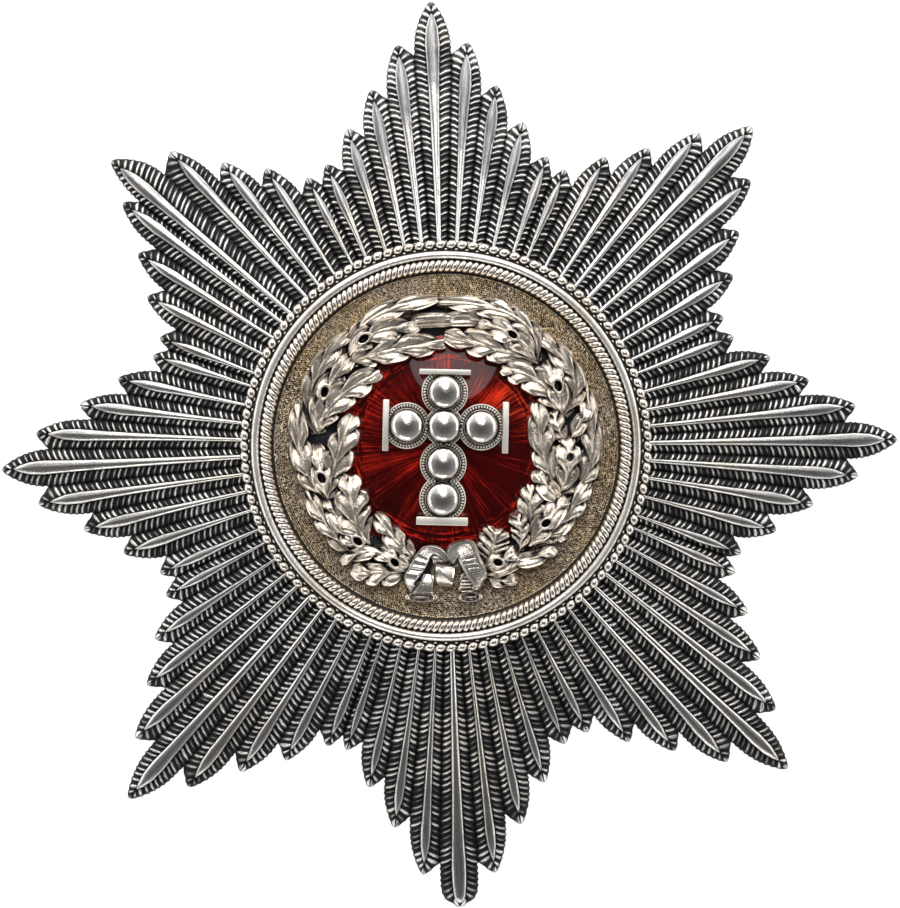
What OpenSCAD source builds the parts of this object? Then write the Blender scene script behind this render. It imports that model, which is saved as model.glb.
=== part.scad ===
// Breast star of an order: eight fans of struck silver rays, a beaded medallion and a ball cross.
// Millimetres. The star lies on its back: +Z is its face, +Y its top, and Z = 0 is where the tips rest.
// The origin is the centre of the circle that the arms' tips lie on.

/* [Star] */
// Radius at which the rays come out from under the medallion
ray_root_r = 19; // [18:0.1:19.3]
// Thickness of the struck sheet at the foot of a ridge
sheet_t = 0.8; // [0.6:0.05:1.2]
// Height of the hollow behind the medallion
hollow_h = 4.4; // [3.8:0.1:6]
// Depth of the valley between two rays, below the foot of their ridges
valley_depth = 0.35; // [0.1:0.05:0.45]
// Height of a ridge above its foot at its widest place
ridge_h = 0.5; // [0.2:0.05:0.9]
// Height of a ridge above its foot where it comes out from under the medallion
ridge_root_h = 0.25; // [0.1:0.01:0.25]
// Width of a ridge where it comes out from under the medallion
ridge_root_w = 0.4; // [0.3:0.05:0.8]
// Distance from a tip back to the widest place of its ridge
ridge_wide_at = 4.4; // [3:0.1:6]
// Distance from a tip back to the end of its ridge
ridge_end_at = 1.2; // [0.8:0.1:2]
// Distance from the shorter tip of two neighbours back to the notch between them
notch_drop = 1.15; // [0.8:0.05:1.8]
// How far the bent centre ray of the fourth arm leans to its left, degrees
bent_ray_lean = 1.5; // [0:0.1:2]

/* [Medallion] */
// Centre of the medallion across the star, from the centre of the tips
medallion_x = -0.15; // [-0.4:0.01:0.4]
// Centre of the medallion up the star, from the centre of the tips
medallion_y = 0.87; // [-1:0.01:1]
// Outer radius of the beaded wire
rim_r = 20.1; // [19.9:0.05:20.4]
// Inner radius of the rim
rim_inner_r = 16.75; // [16.5:0.05:16.8]
// Thickness of the gilt ground plate
ground_t = 0.5; // [0.4:0.05:0.6]
// Radius of the enamelled plate, which runs under the wreath
enamel_r = 11.2; // [10.5:0.1:11.2]
// Thickness of the enamelled plate at its edge
enamel_edge_t = 0.7; // [0.5:0.05:0.7]
// Height of the enamel's dome above its edge
enamel_dome_h = 0.7; // [0.3:0.05:0.7]

/* [Cross] */
// Radius of the six domed studs
ball_r = 1.48; // [1.2:0.01:1.55]
// Outer radius of a stud's setting
setting_r = 2.27; // [1.9:0.01:2.4]
// Turn of the cross, degrees, anticlockwise
cross_turn = -1.2; // [-5:0.1:5]
// Length of an end plate
end_plate_w = 5; // [4:0.1:5.6]

/* [Wreath] */
// Radius of the line that the two branches follow
wreath_r = 12.6; // [12.4:0.1:12.8]
// Length of an oak leaf
leaf_l = 4.6; // [3.8:0.1:4.8]
// Width of an oak leaf
leaf_w = 2.3; // [1.8:0.1:2.4]
// Turn of the wreath and its bow, degrees, anticlockwise
wreath_turn = -1; // [-5:0.1:5]

/* [Pin] */
// Diameter of the pin's wire
pin_d = 1.2; // [1:0.1:1.4]
// Distance from the middle of the star to the pin's hinge, and to its catch
pin_reach = 23; // [21:0.5:23]

/* [Hidden] */
$fn = 96;

// One row for each arm, anticlockwise from the right: its turn in degrees off its place in eight
// equal parts, then the reach from the star's centre of its centre ray and of the four pairs beside it
ARM_TURN = 0;
ARM_REACH = 1;
arms = [
    [2.0, 43.8, 40.0, 35.9, 32.8, 30.1],
    [2.1, 43.6, 39.8, 35.7, 32.8, 30.0],
    [2.1, 44.2, 40.2, 36.3, 33.2, 30.6],
    [2.3, 43.5, 40.0, 35.9, 33.0, 30.2],
    [1.9, 43.4, 40.1, 36.1, 32.9, 30.2],
    [2.1, 45.6, 41.0, 36.8, 33.6, 30.6],
    [1.6, 44.0, 40.9, 36.6, 33.2, 30.3],
    [2.3, 45.0, 40.4, 36.3, 33.0, 30.2]
];
// One row for the centre ray and one for each pair beside it: angle off the arm's middle, ridge width
RAY_OFF = 0;
RAY_RIDGE = 1;
rays = [
    [0.0, 1.45],
    [4.85, 1.25],
    [9.65, 1.15],
    [14.9, 1.05],
    [20.5, 0.95]
];
arm_count = len(arms);
centre_step = len(rays) - 1;
arm_rays = 2 * centre_step + 1;
ray_count = arm_count * arm_rays;
bent_arm = 3;

seam = 0.05;
medallion_at = [medallion_x, medallion_y];
hub_r = ray_root_r - 0.5;
hub_z = hollow_h + sheet_t + ridge_root_h;
seat_z = hub_z + seam;
ground_z = seat_z + ground_t;
enamel_z = ground_z + seam;
enamel_edge_z = enamel_z + enamel_edge_t;
enamel_top_z = enamel_edge_z + enamel_dome_h;

// Outline of a ray, as shares of the way from its tip back to a notch, and how full its sides are
side_shares = [0.13, 0.35, 0.65];
side_fullness_l = 2.1;
side_fullness = [1, 2.5];
// Share of the way to the shorter of two neighbours at which the notch between them lies
notch_share = 0.56;

// Rays are counted anticlockwise from the last ray of the first arm
function wrap(i) = (i + ray_count) % ray_count;
function arm_of(i) = floor(i / arm_rays);
function step_of(i) = i % arm_rays - centre_step;
function lean(i) = arm_of(i) == bent_arm && step_of(i) == 0 ? bent_ray_lean : 0;
function tip_angle(i) =
    arm_of(i) * 360 / arm_count + arms[arm_of(i)][ARM_TURN] + lean(i)
    + sign(step_of(i)) * rays[abs(step_of(i))][RAY_OFF];
function tip_reach(i) = arms[arm_of(i)][ARM_REACH + abs(step_of(i))];
function heading(a) = [cos(a), sin(a)];
// Points of the star are reckoned from the medallion's centre, where the rays meet
function tip(i) = tip_reach(i) * heading(tip_angle(i)) - medallion_at;
function unit(v) = v / norm(v);
function left_of(v) = [-v[1], v[0]];
function along(i) = unit(tip(i));
function arm_length(i) = norm(tip(arm_of(i) * arm_rays + centre_step));

// The valley before ray i lies between it and the ray i - 1
function valley_root(i) = ray_root_r * unit(along(i) + along(wrap(i - 1)));
function toward(i) = norm(tip(i)) < norm(tip(wrap(i - 1))) ? notch_share : 1 - notch_share;
function notch(i) =
    (min(norm(tip(i)), norm(tip(wrap(i - 1)))) - notch_drop)
    * unit(toward(i) * along(i) + (1 - toward(i)) * along(wrap(i - 1)));

// A point of the outline between ray i's tip and the notch n, at share s of the way back
function fullness(d) = min(max(d / side_fullness_l, side_fullness[0]), side_fullness[1]);
function side_point(i, n, s) =
    let (back = (tip(i) - n) * along(i), out = (n - tip(i)) * left_of(along(i)))
    tip(i) - s * back * along(i) + out * (1 - pow(1 - s, fullness(back))) * left_of(along(i));

// The underside is a cone that comes down to the ground at each arm's own tip
function under(p, reach) = hollow_h * (reach - norm(p)) / (reach - ray_root_r);
function lift(p, z) = [p[0], p[1], z];
function valley_reach(i) = (arm_length(i) + arm_length(wrap(i - 1))) / 2;

function ridge_point(i, back, side) = tip(i) - back * along(i) + side * left_of(along(i));
function root_back(i) = norm(tip(i)) - ray_root_r;

// Corners of ray i. The first four are shared with the ray before it
VALLEY = 0;
NOTCH = 1;
VALLEY_UNDER = 2;
NOTCH_UNDER = 3;
HUB = 4;
FOOT_ROOT_R = 5;
CREST_ROOT = 6;
FOOT_ROOT_L = 7;
FOOT_R = 8;
CREST = 9;
FOOT_L = 10;
RIDGE_END = 11;
TIP = 12;
TIP_UNDER = 13;
MIDDLE_UNDER = 14;
SIDE_R = 15;
SIDE_R_UNDER = 18;
SIDE_L = 21;
SIDE_L_UNDER = 24;
ray_corners = 27;

function ray_points(i) =
    let (
        reach = arm_length(i),
        shared = valley_reach(i),
        step = abs(step_of(i)),
        half = rays[step][RAY_RIDGE] / 2,
        back = root_back(i),
        v = valley_root(i),
        n = notch(i),
        next = notch(wrap(i + 1)),
        edge = sheet_t - valley_depth,
        low = function (p) under(p, reach),
        right = [for (s = side_shares) side_point(i, n, s)],
        left = [for (s = side_shares) side_point(i, next, s)],
        foot_root_r = ridge_point(i, back, -ridge_root_w / 2),
        foot_root_l = ridge_point(i, back, ridge_root_w / 2),
        crest_root = ridge_point(i, back, 0),
        foot_r = ridge_point(i, ridge_wide_at, -half),
        foot_l = ridge_point(i, ridge_wide_at, half),
        crest = ridge_point(i, ridge_wide_at, 0),
        end = ridge_point(i, ridge_end_at, 0)
    )
    [
        lift(v, under(v, shared) + edge),
        lift(n, under(n, shared) + edge),
        lift(v, under(v, shared)),
        lift(n, under(n, shared)),
        lift(hub_r * along(i), hub_z),
        lift(foot_root_r, low(foot_root_r) + sheet_t),
        lift(crest_root, low(crest_root) + sheet_t + ridge_root_h),
        lift(foot_root_l, low(foot_root_l) + sheet_t),
        lift(foot_r, low(foot_r) + sheet_t),
        lift(crest, low(crest) + sheet_t + ridge_h),
        lift(foot_l, low(foot_l) + sheet_t),
        lift(end, low(end) + sheet_t),
        lift(tip(i), low(tip(i)) + edge),
        lift(tip(i), low(tip(i))),
        lift(crest, low(crest)),
        for (p = right) lift(p, low(p) + edge),
        for (p = right) lift(p, low(p)),
        for (p = left) lift(p, low(p) + edge),
        for (p = left) lift(p, low(p))
    ];

// A wall between an upper and a lower row of corners
function wall(upper, lower) = [
    for (k = [0 : len(upper) - 2])
        each [[upper[k], upper[k + 1], lower[k + 1]], [upper[k], lower[k + 1], lower[k]]]
];
// A fan of triangles from one corner over a row of them
function fan(corner, row) = [for (k = [0 : len(row) - 2]) [corner, row[k], row[k + 1]]];

function ray_faces(i) =
    let (
        own = ray_corners * i,
        next = ray_corners * wrap(i + 1),
        at = function (c) own + c,
        outline = [
            own + NOTCH, own + SIDE_R + 2, own + SIDE_R + 1, own + SIDE_R, own + TIP,
            own + SIDE_L, own + SIDE_L + 1, own + SIDE_L + 2, next + NOTCH
        ],
        outline_under = [
            own + NOTCH_UNDER, own + SIDE_R_UNDER + 2, own + SIDE_R_UNDER + 1,
            own + SIDE_R_UNDER, own + TIP_UNDER, own + SIDE_L_UNDER,
            own + SIDE_L_UNDER + 1, own + SIDE_L_UNDER + 2, next + NOTCH_UNDER
        ]
    )
    [
        each fan(at(HUB), [
            next + HUB, next + VALLEY, at(FOOT_ROOT_L), at(CREST_ROOT), at(FOOT_ROOT_R), at(VALLEY)
        ]),
        each fan(at(FOOT_R), [
            at(VALLEY), at(FOOT_ROOT_R), at(CREST_ROOT), at(CREST), at(RIDGE_END)
        ]),
        each fan(at(FOOT_R), [
            at(RIDGE_END), at(SIDE_R + 1), at(SIDE_R + 2), at(NOTCH), at(VALLEY)
        ]),
        each fan(at(FOOT_L), [
            at(RIDGE_END), at(CREST), at(CREST_ROOT), at(FOOT_ROOT_L), next + VALLEY
        ]),
        each fan(at(FOOT_L), [
            next + VALLEY, next + NOTCH, at(SIDE_L + 2), at(SIDE_L + 1), at(RIDGE_END)
        ]),
        each fan(at(RIDGE_END), [
            at(SIDE_L + 1), at(SIDE_L), at(TIP), at(SIDE_R), at(SIDE_R + 1)
        ]),
        each wall(outline, outline_under),
        each fan(at(MIDDLE_UNDER), [
            at(VALLEY_UNDER), each outline_under, next + VALLEY_UNDER, at(VALLEY_UNDER)
        ])
    ];

module star_body()
{
    last = ray_count - 1;
    points = [
        for (i = [0 : last]) each ray_points(i),
        [0, 0, hub_z],
        [0, 0, hollow_h]
    ];
    top = ray_corners * ray_count;
    faces = [
        for (i = [0 : last]) each ray_faces(i),
        for (i = [0 : last]) [top, ray_corners * wrap(i + 1) + HUB, ray_corners * i + HUB],
        for (i = [0 : last])
            [top + 1, ray_corners * i + VALLEY_UNDER, ray_corners * wrap(i + 1) + VALLEY_UNDER]
    ];
    color("gainsboro")
        translate(medallion_at)
            polyhedron(points, faces);
}

// The rim's three wires, as centre radius, wire radius and height of the centre above the seat
WIRE_AT = 0;
WIRE_R = 1;
WIRE_Z = 2;
wires = [
    [17.45, 0.52, 0.62],
    [18.53, 0.42, 0.6],
    [rim_r - 0.4, 0.4, 0.3]
];
band_h = 0.45;

module medallion_rim()
{
    color("silver")
        translate([medallion_x, medallion_y, seat_z])
            rotate_extrude()
                intersection() {
                    translate([rim_inner_r, 0])
                        square([rim_r - rim_inner_r, 2]);
                    union() {
                        translate([rim_inner_r, 0])
                            square([rim_r - 0.4 - rim_inner_r, band_h]);
                        for (w = wires)
                            translate([w[WIRE_AT], w[WIRE_Z]])
                                circle(w[WIRE_R]);
                    }
                }
}

module ground_disc()
{
    color("darkkhaki")
        translate([medallion_x, medallion_y, seat_z])
            cylinder(h = ground_t, r = rim_inner_r - seam);
}

// The dome is a slice of a ball that is as wide as the plate
module enamel_disc()
{
    dome_r = (pow(enamel_r, 2) + pow(enamel_dome_h, 2)) / (2 * enamel_dome_h);
    color("firebrick")
        translate([medallion_x, medallion_y, enamel_z])
            rotate_extrude()
                intersection() {
                    square([enamel_r, enamel_edge_t + enamel_dome_h]);
                    translate([0, enamel_edge_t + enamel_dome_h - dome_r])
                        circle(dome_r, $fn = 720);
                }
}

// Places of the studs on the cross, from the middle one
top_step = 3.3;
side_step = 3.6;
lower_step = 3.62;
foot_step = 3.41;
cross_at = [-0.18, 1.9];
balls = [
    ["ball_top", [0, top_step]],
    ["ball_left", [-side_step, 0]],
    ["ball_centre", [0, 0]],
    ["ball_right", [side_step, 0]],
    ["ball_lower", [0, -lower_step]],
    ["ball_foot", [0, -lower_step - foot_step]]
];
BALL_NAME = 0;
BALL_AT = 1;
// End plates, as turn, distance from the middle stud, thickness and distance of the stud before it
PLATE_TURN = 0;
PLATE_AT = 1;
PLATE_T = 2;
PLATE_FROM = 3;
end_plates = [
    [0, 5.28, 0.52, top_step],
    [90, 5.65, 0.6, side_step],
    [-90, 5.95, 0.6, side_step],
    [180, 9.18, 0.8, lower_step + foot_step]
];
cross_z = enamel_top_z + seam;
cup_floor_t = 0.35;
setting_h = 0.85;
centre_setting_r = 1.9;
plate_h = 1.2;
pedestal_h = 0.7;
pedestal_w = [3, 4.2];
ball_z = cross_z + 0.92;

module on_cross()
{
    translate([medallion_x + cross_at[0], medallion_y + cross_at[1], 0])
        rotate(cross_turn)
            children();
}

module pedestal(from, to)
{
    linear_extrude(pedestal_h)
        polygon([
            [-pedestal_w[0] / 2, from], [pedestal_w[0] / 2, from],
            [pedestal_w[1] / 2, to], [-pedestal_w[1] / 2, to]
        ]);
}

module cross_frame()
{
    color("silver")
        on_cross()
            translate([0, 0, cross_z])
                difference() {
                    union() {
                        for (b = balls)
                            translate(b[BALL_AT])
                                cylinder(
                                    h = setting_h,
                                    r = b[BALL_NAME] == "ball_centre" ? centre_setting_r : setting_r
                                );
                        for (p = end_plates)
                            rotate(p[PLATE_TURN]) {
                                pedestal(p[PLATE_FROM], p[PLATE_AT]);
                                translate([-end_plate_w / 2, p[PLATE_AT] - p[PLATE_T] / 2, 0])
                                    cube([end_plate_w, p[PLATE_T], plate_h]);
                            }
                    }
                    for (b = balls)
                        translate([b[BALL_AT][0], b[BALL_AT][1], cup_floor_t])
                            cylinder(h = setting_h, r = ball_r + seam);
                }
}

// A stud is a ball with its foot cut flat, sitting on the floor of its cup
module ball(name)
{
    foot_z = cross_z + cup_floor_t + seam;
    color("white")
        on_cross()
            for (b = balls)
                if (b[BALL_NAME] == name)
                    intersection() {
                        translate([b[BALL_AT][0], b[BALL_AT][1], ball_z])
                            sphere(ball_r);
                        translate([b[BALL_AT][0] - ball_r, b[BALL_AT][1] - ball_r, foot_z])
                            cube(2 * ball_r);
                    }
}

// Leaf clusters of one branch, as angle from the bow and radius
CLUSTER_ANGLE = 0;
CLUSTER_R = 1;
left_clusters = [[27, 12.4], [50, 12.5], [77, 12.5], [111, 12.7], [140, 12.8]];
right_clusters = [[28, 12.4], [54, 12.3], [88, 12.2], [119, 12.3], [148, 12.6]];
// The leaves of a cluster, as turn off the branch, shift outwards and height of the leaf's middle
LEAF_TURN = 0;
LEAF_OUT = 1;
LEAF_Z = 2;
leaves = [[30, 0.9, 0.95], [-32, -1.1, 1.3], [0, -0.1, 1.55]];
leaf_round = 6;
// A leaf is thickest at its middle, and both its ends are rounded
leaf_stretch = [1.6, 1, 0.5];
leaf_stem_r = 0.35;
leaf_stem_drop = 0.3;
leaf_end_r = 0.3;
branch_half_w = 1.2;
branch_h = 1;
branch_round = 48;
bow_r = 12.6;
branch_end = 172;
branch_start = 6;

module leaf()
{
    hull() {
        translate([-leaf_l / 2, 0, -leaf_stem_drop])
            sphere(leaf_stem_r, $fn = leaf_round);
        scale(leaf_stretch)
            sphere(leaf_w / 2, $fn = leaf_round);
        translate([leaf_l / 2, 0, 0])
            sphere(leaf_end_r, $fn = leaf_round);
    }
}

// The branch goes round clockwise for side 1 and anticlockwise for side -1, from the bow upwards
module branch(side, clusters)
{
    for (c = clusters, l = leaves)
        rotate(-90 - side * c[CLUSTER_ANGLE])
            translate([c[CLUSTER_R] + l[LEAF_OUT], 0, l[LEAF_Z]])
                rotate(-side * (90 - l[LEAF_TURN]))
                    leaf();
    rotate(-90 - (side > 0 ? branch_end : -branch_start))
        rotate_extrude(angle = branch_end - branch_start, $fn = branch_round)
            translate([wreath_r - branch_half_w, 0])
                square([2 * branch_half_w, branch_h]);
}

// The bow: two loops on edge, two tails and the knot between them
loop_at = [2.1, 0.2, 0.8];
loop_turn = 12;
loop_r = 1.6;
loop_eye_r = 0.9;
loop_h = 1.1;
loop_round = 16;
tail_from = [0.9, 0, 0.6];
tail_to = [2.4, -1.9, 0.75];
tail_r = [0.55, 0.7];
knot_z = 1.1;
knot_stretch = [0.9, 1.2, 1];

module ribbon_loop(side)
{
    translate([side * loop_at[0], loop_at[1] - bow_r, loop_at[2]])
        rotate(-side * loop_turn)
            scale([1, 0.8, 1])
                difference() {
                    cylinder(h = loop_h, r = loop_r, $fn = loop_round);
                    translate([0, 0, -loop_h / 2])
                        cylinder(h = 2 * loop_h, r = loop_eye_r, $fn = loop_round);
                }
}

module ribbon_tail(side)
{
    hull() {
        translate([side * tail_from[0], tail_from[1] - bow_r, tail_from[2]])
            sphere(tail_r[0], $fn = leaf_round);
        translate([side * tail_to[0], tail_to[1] - bow_r, tail_to[2]])
            sphere(tail_r[1], $fn = leaf_round);
    }
}

module oak_wreath()
{
    clear_z = enamel_edge_z - enamel_z + 0.25;
    color("whitesmoke")
        translate([medallion_x, medallion_y, ground_z + seam])
            difference() {
                rotate(wreath_turn)
                    intersection() {
                        union() {
                            branch(1, left_clusters);
                            branch(-1, right_clusters);
                            for (side = [-1, 1]) {
                                ribbon_loop(side);
                                ribbon_tail(side);
                            }
                            translate([0, -bow_r, knot_z])
                                scale(knot_stretch)
                                    sphere(1, $fn = 8);
                        }
                        cylinder(h = 4, r = rim_inner_r - 1);
                    }
                translate([0, 0, -1])
                    cylinder(h = 1 + clear_z, r = enamel_r + 0.15, $fn = branch_round);
            }
}

// The pin is one plain piece: a hinge, a wire and a catch, each end on a foot that follows the cone
foot_plate = [5, 4, 0.6];
pin_z = 1.3;
hinge_r = 1;
cone_slope = atan(hollow_h / (arms[2][ARM_REACH] - ray_root_r));

module pin_foot(side)
{
    foot_y = side * pin_reach;
    under_z = hollow_h - (pin_reach - ray_root_r + 1) * tan(cone_slope);
    translate([0, foot_y, under_z - 0.1])
        rotate([-side * cone_slope, 0, 0])
            translate([-foot_plate[0] / 2, -foot_plate[1] / 2, -foot_plate[2]])
                cube(foot_plate);
    translate([-hinge_r, foot_y - hinge_r, pin_z])
        cube([2 * hinge_r, 2 * hinge_r, under_z - pin_z - 0.4]);
}

module back_pin()
{
    color("darkgray")
        translate(medallion_at) {
            for (side = [-1, 1])
                pin_foot(side);
            translate([-2, pin_reach, pin_z])
                rotate([0, 90, 0])
                    cylinder(h = 4, r = hinge_r);
            translate([0, -pin_reach - 1.6, pin_z])
                rotate([-90, 0, 0])
                    cylinder(h = 2 * pin_reach + 1.6, r = pin_d / 2);
        }
}

star_body();
medallion_rim();
ground_disc();
enamel_disc();
oak_wreath();
cross_frame();
ball("ball_top");  // ball_top
ball("ball_left");  // ball_left
ball("ball_centre");  // ball_centre
ball("ball_right");  // ball_right
ball("ball_lower");  // ball_lower
ball("ball_foot");  // ball_foot
back_pin();
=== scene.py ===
"""Looks of a silver breast star with an oak wreath, red enamel and a ball cross, around its CAD frame."""

import math

import bpy
import numpy as np
from mathutils import Matrix, Vector
from mathutils.bvhtree import BVHTree


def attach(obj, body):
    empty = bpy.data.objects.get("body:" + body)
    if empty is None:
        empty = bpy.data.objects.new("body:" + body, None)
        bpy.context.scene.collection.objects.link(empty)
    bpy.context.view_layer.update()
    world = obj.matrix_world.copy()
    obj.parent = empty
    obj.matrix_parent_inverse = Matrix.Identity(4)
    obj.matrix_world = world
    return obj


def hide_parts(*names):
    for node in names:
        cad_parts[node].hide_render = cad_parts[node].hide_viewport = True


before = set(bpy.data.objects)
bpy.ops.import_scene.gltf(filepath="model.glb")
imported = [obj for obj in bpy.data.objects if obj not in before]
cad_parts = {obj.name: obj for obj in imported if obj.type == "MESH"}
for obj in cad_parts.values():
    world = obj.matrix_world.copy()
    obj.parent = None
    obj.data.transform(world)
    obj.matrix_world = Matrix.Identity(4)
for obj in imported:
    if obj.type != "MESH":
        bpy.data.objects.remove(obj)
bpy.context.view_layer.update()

bl_info = {
    "name": "Breast Star",
    "version": (1, 0, 0),
    "blender": (4, 5, 0),
    "location": "3D View > Sidebar > Breast Star",
    "description": "Builds the struck rays, medallion, wreath, enamel, cross and pin of a breast star",
    "category": "Add Mesh",
}

MM = 0.001
TAU = 2 * math.pi
# Points nearer to each other than this, in metres, are one
DOUBLE = 1e-7

# One row for each arm, anticlockwise from the right: its name, its turn in degrees off its eighth, how wide
# its ridges are as a share, then the reach in millimetres of its centre ray and of the four pairs beside it
ARMS = (
    ("right", 2.0, 0.94, (43.8, 40.0, 35.9, 32.8, 30.1)),
    ("upper_right", 2.1, 0.94, (43.6, 39.8, 35.7, 32.8, 30.0)),
    ("top", 2.1, 1.0, (44.2, 40.2, 36.3, 33.2, 30.6)),
    ("upper_left", 2.3, 0.9, (43.5, 40.0, 35.9, 33.0, 30.2)),
    ("left", 1.9, 0.94, (43.4, 40.1, 36.1, 32.9, 30.2)),
    ("lower_left", 2.1, 0.88, (45.6, 41.0, 36.8, 33.6, 30.6)),
    ("bottom", 1.6, 0.8, (44.0, 40.9, 36.6, 33.2, 30.3)),
    ("lower_right", 2.3, 0.86, (45.0, 40.4, 36.3, 33.0, 30.2)),
)
# The centre ray and each pair beside it: angle off the arm's middle in degrees, ridge width in millimetres
RAYS = ((0.0, 1.45), (4.85, 1.25), (9.65, 1.15), (14.9, 1.05), (20.5, 0.95))
# The arm whose centre ray leans, and by how many degrees
BENT_ARM, BENT_LEAN = 3, 1.5
# The arm whose centre ray has a full, rounded ridge end, and how many millimetres that is drawn to the tip
FULL_ARM, FULL_END = 6, 0.85
# Radii in millimetres where the toothed plates and the ridges begin, hidden under the medallion's rim
PLATE_START, RIDGE_START = 18.3, 18.6
# How far the notch between two rays lies inside the shorter one's tip, and the length of a ray's tip that
# has no teeth, in millimetres
NOTCH, TOOTHLESS = 1.15, 0.45
# Radius in millimetres from which a ridge's taper is reckoned, and half the width of a ray's blunt tip
TAPER_R, BLUNT = 19.9, 0.2
# The end of a ridge: distance back from the ray's tip in millimetres, share of the full width
RIDGE_END = ((1.17, 0.0), (1.35, 0.16), (1.75, 0.45), (2.7, 0.84), (4.2, 1.0))
# Its taper inwards from there: share of the way in, share of the full width
RIDGE_TAPER = ((0.13, 0.83), (0.31, 0.68), (1.0, 0.26), (1.2, 0.24))
# Distances back from the tip of the rings of a ridge's mesh, in millimetres
RIDGE_RINGS = (1.19, 1.3, 1.5, 1.75, 2.1, 2.7, 3.4, 4.2, 5.2, 6.5, 8.2, 10.5, 13, 16, 19, 22, 26)
# Half of a ridge's section from its spine out, as shares of its half width and height: where it is narrow and
# roof-like, where it is wide and flat, and how bright it is worn, darkened as painted shade at its foot
RIDGE_SECTION = (
    (0.0, 1.0, 0.0, 1.0, 1.0),
    (0.24, 0.96, 0.3, 0.975, 1.0),
    (0.42, 0.86, 0.56, 0.91, 1.0),
    (0.62, 0.57, 0.76, 0.79, 1.0),
    (0.82, 0.28, 0.9, 0.56, 0.9),
    (1.0, 0.02, 1.0, 0.2, 0.35),
    (1.0, -0.25, 1.0, -0.25, 0.1),
)
# How deep the foot of a ridge is sunk into the plate, in millimetres
RIDGE_FOOT = 0.16
# One tooth and the cut before it: share of the pitch, share of the cut's depth
TOOTH = (
    (0.0, 0.65), (0.1, 0.2), (0.2, 0.0), (0.3, 0.05), (0.42, 0.4), (0.56, 0.8), (0.72, 1.0), (0.88, 0.95))
# Lines of a ray's flank, from its outer edge (1) to the ridge (0): place, how bright it is worn,
# with painted shade darkening the valley and the ridge's foot, and how much of that is lost in a cut
FLANK = ((1.0, 0.42, 0.7), (0.8, 0.72, 0.8), (0.5, 1.0, 0.93), (0.2, 0.9, 0.96), (0.0, 0.32, 0.93))

# Studs of the cross: name, place across and up from the middle one in millimetres
STUDS = (
    ("top", 0.0, 3.3),
    ("left", -3.6, 0.0),
    ("centre", 0.0, 0.0),
    ("right", 3.6, 0.0),
    ("lower", 0.0, -3.62),
    ("foot", 0.0, -7.03),
)
# End plates: turn in degrees, distance from the middle stud, thickness, distance of the stud before it
END_PLATES = ((0, 5.28, 0.52, 3.3), (90, 5.65, 0.6, 3.6), (-90, 5.95, 0.6, 3.6), (180, 9.18, 0.8, 7.03))


def length(name, description, default):
    """A length setting, given in millimetres."""
    return bpy.props.FloatProperty(
        name=name, description=description, default=default * MM, unit="LENGTH", precision=5)


def angle(name, description, default):
    """An angle setting, given in degrees."""
    return bpy.props.FloatProperty(
        name=name, description=description, default=math.radians(default), subtype="ANGLE")


def quantity(name, description, default, least):
    """A setting for how many there are of something."""
    return bpy.props.IntProperty(name=name, description=description, default=default, min=least)


def colour(name, description, default):
    """A colour setting."""
    return bpy.props.FloatVectorProperty(
        name=name, description=description, default=default, size=3, min=0, max=1, subtype="COLOR")


class StarSizes(bpy.types.PropertyGroup):
    """Sizes of the struck star."""

    root_r: length("Ray root radius", "Where the rays come out from under the medallion", 19.0)
    sheet: length("Sheet", "Thickness of the struck sheet at the foot of a ridge", 0.8)
    hollow: length("Hollow", "Height of the hollow behind the medallion", 4.4)
    valley: length("Valley", "Depth of the valley between two rays", 0.35)
    ridge: length("Ridge height", "Height of a ridge at its widest place", 0.5)
    tooth: length("Tooth pitch", "Distance from one cut in a ray's flank to the next", 0.57)
    cut: length("Cut depth", "Depth of the cuts in the flanks of the rays", 0.26)
    lean: angle("Cut lean", "How far the cuts lean towards the tip", 19)


class MedallionSizes(bpy.types.PropertyGroup):
    """Sizes of the medallion."""

    across: length("Across", "Middle of the medallion across the star", -0.15)
    up: length("Up", "Middle of the medallion up the star", 0.87)
    seat: length("Seat", "Height of the plane that the medallion lies on", 5.5)
    rope_r: length("Rope radius", "Radius of the rope ring's middle", 17.5)
    rope_turns: quantity("Rope turns", "How often the two strands wind round each other", 92, 20)
    ring_r: length("Ring radius", "Radius of the smooth ring's middle", 18.55)
    bead_r: length("Bead ring radius", "Radius of the beaded wire's middle", 19.57)
    beads: quantity("Beads", "Number of beads on the beaded wire", 118, 20)
    ground_r: length("Ground radius", "Radius of the gilt ground", 16.7)
    enamel_r: length("Enamel radius", "Radius of the enamelled plate", 11.2)
    dome: length("Enamel dome", "Height of the enamel's dome above its edge", 1.3)


class CrossSizes(bpy.types.PropertyGroup):
    """Sizes of the ball cross."""

    across: length("Across", "Middle stud across the medallion", -0.18)
    up: length("Up", "Middle stud up the medallion", 1.9)
    turn: angle("Turn", "Turn of the cross", -1.2)
    base: length("Base", "Height of the cross's underside", 7.5)
    stud_r: length("Stud radius", "Radius of a domed stud", 1.6)
    setting_r: length("Setting radius", "Outer radius of a stud's setting", 2.27)
    grains: quantity("Grains", "Grains on a setting's beaded edge", 44, 12)
    plate_w: length("End plate", "Length of an end plate", 5.0)


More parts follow.
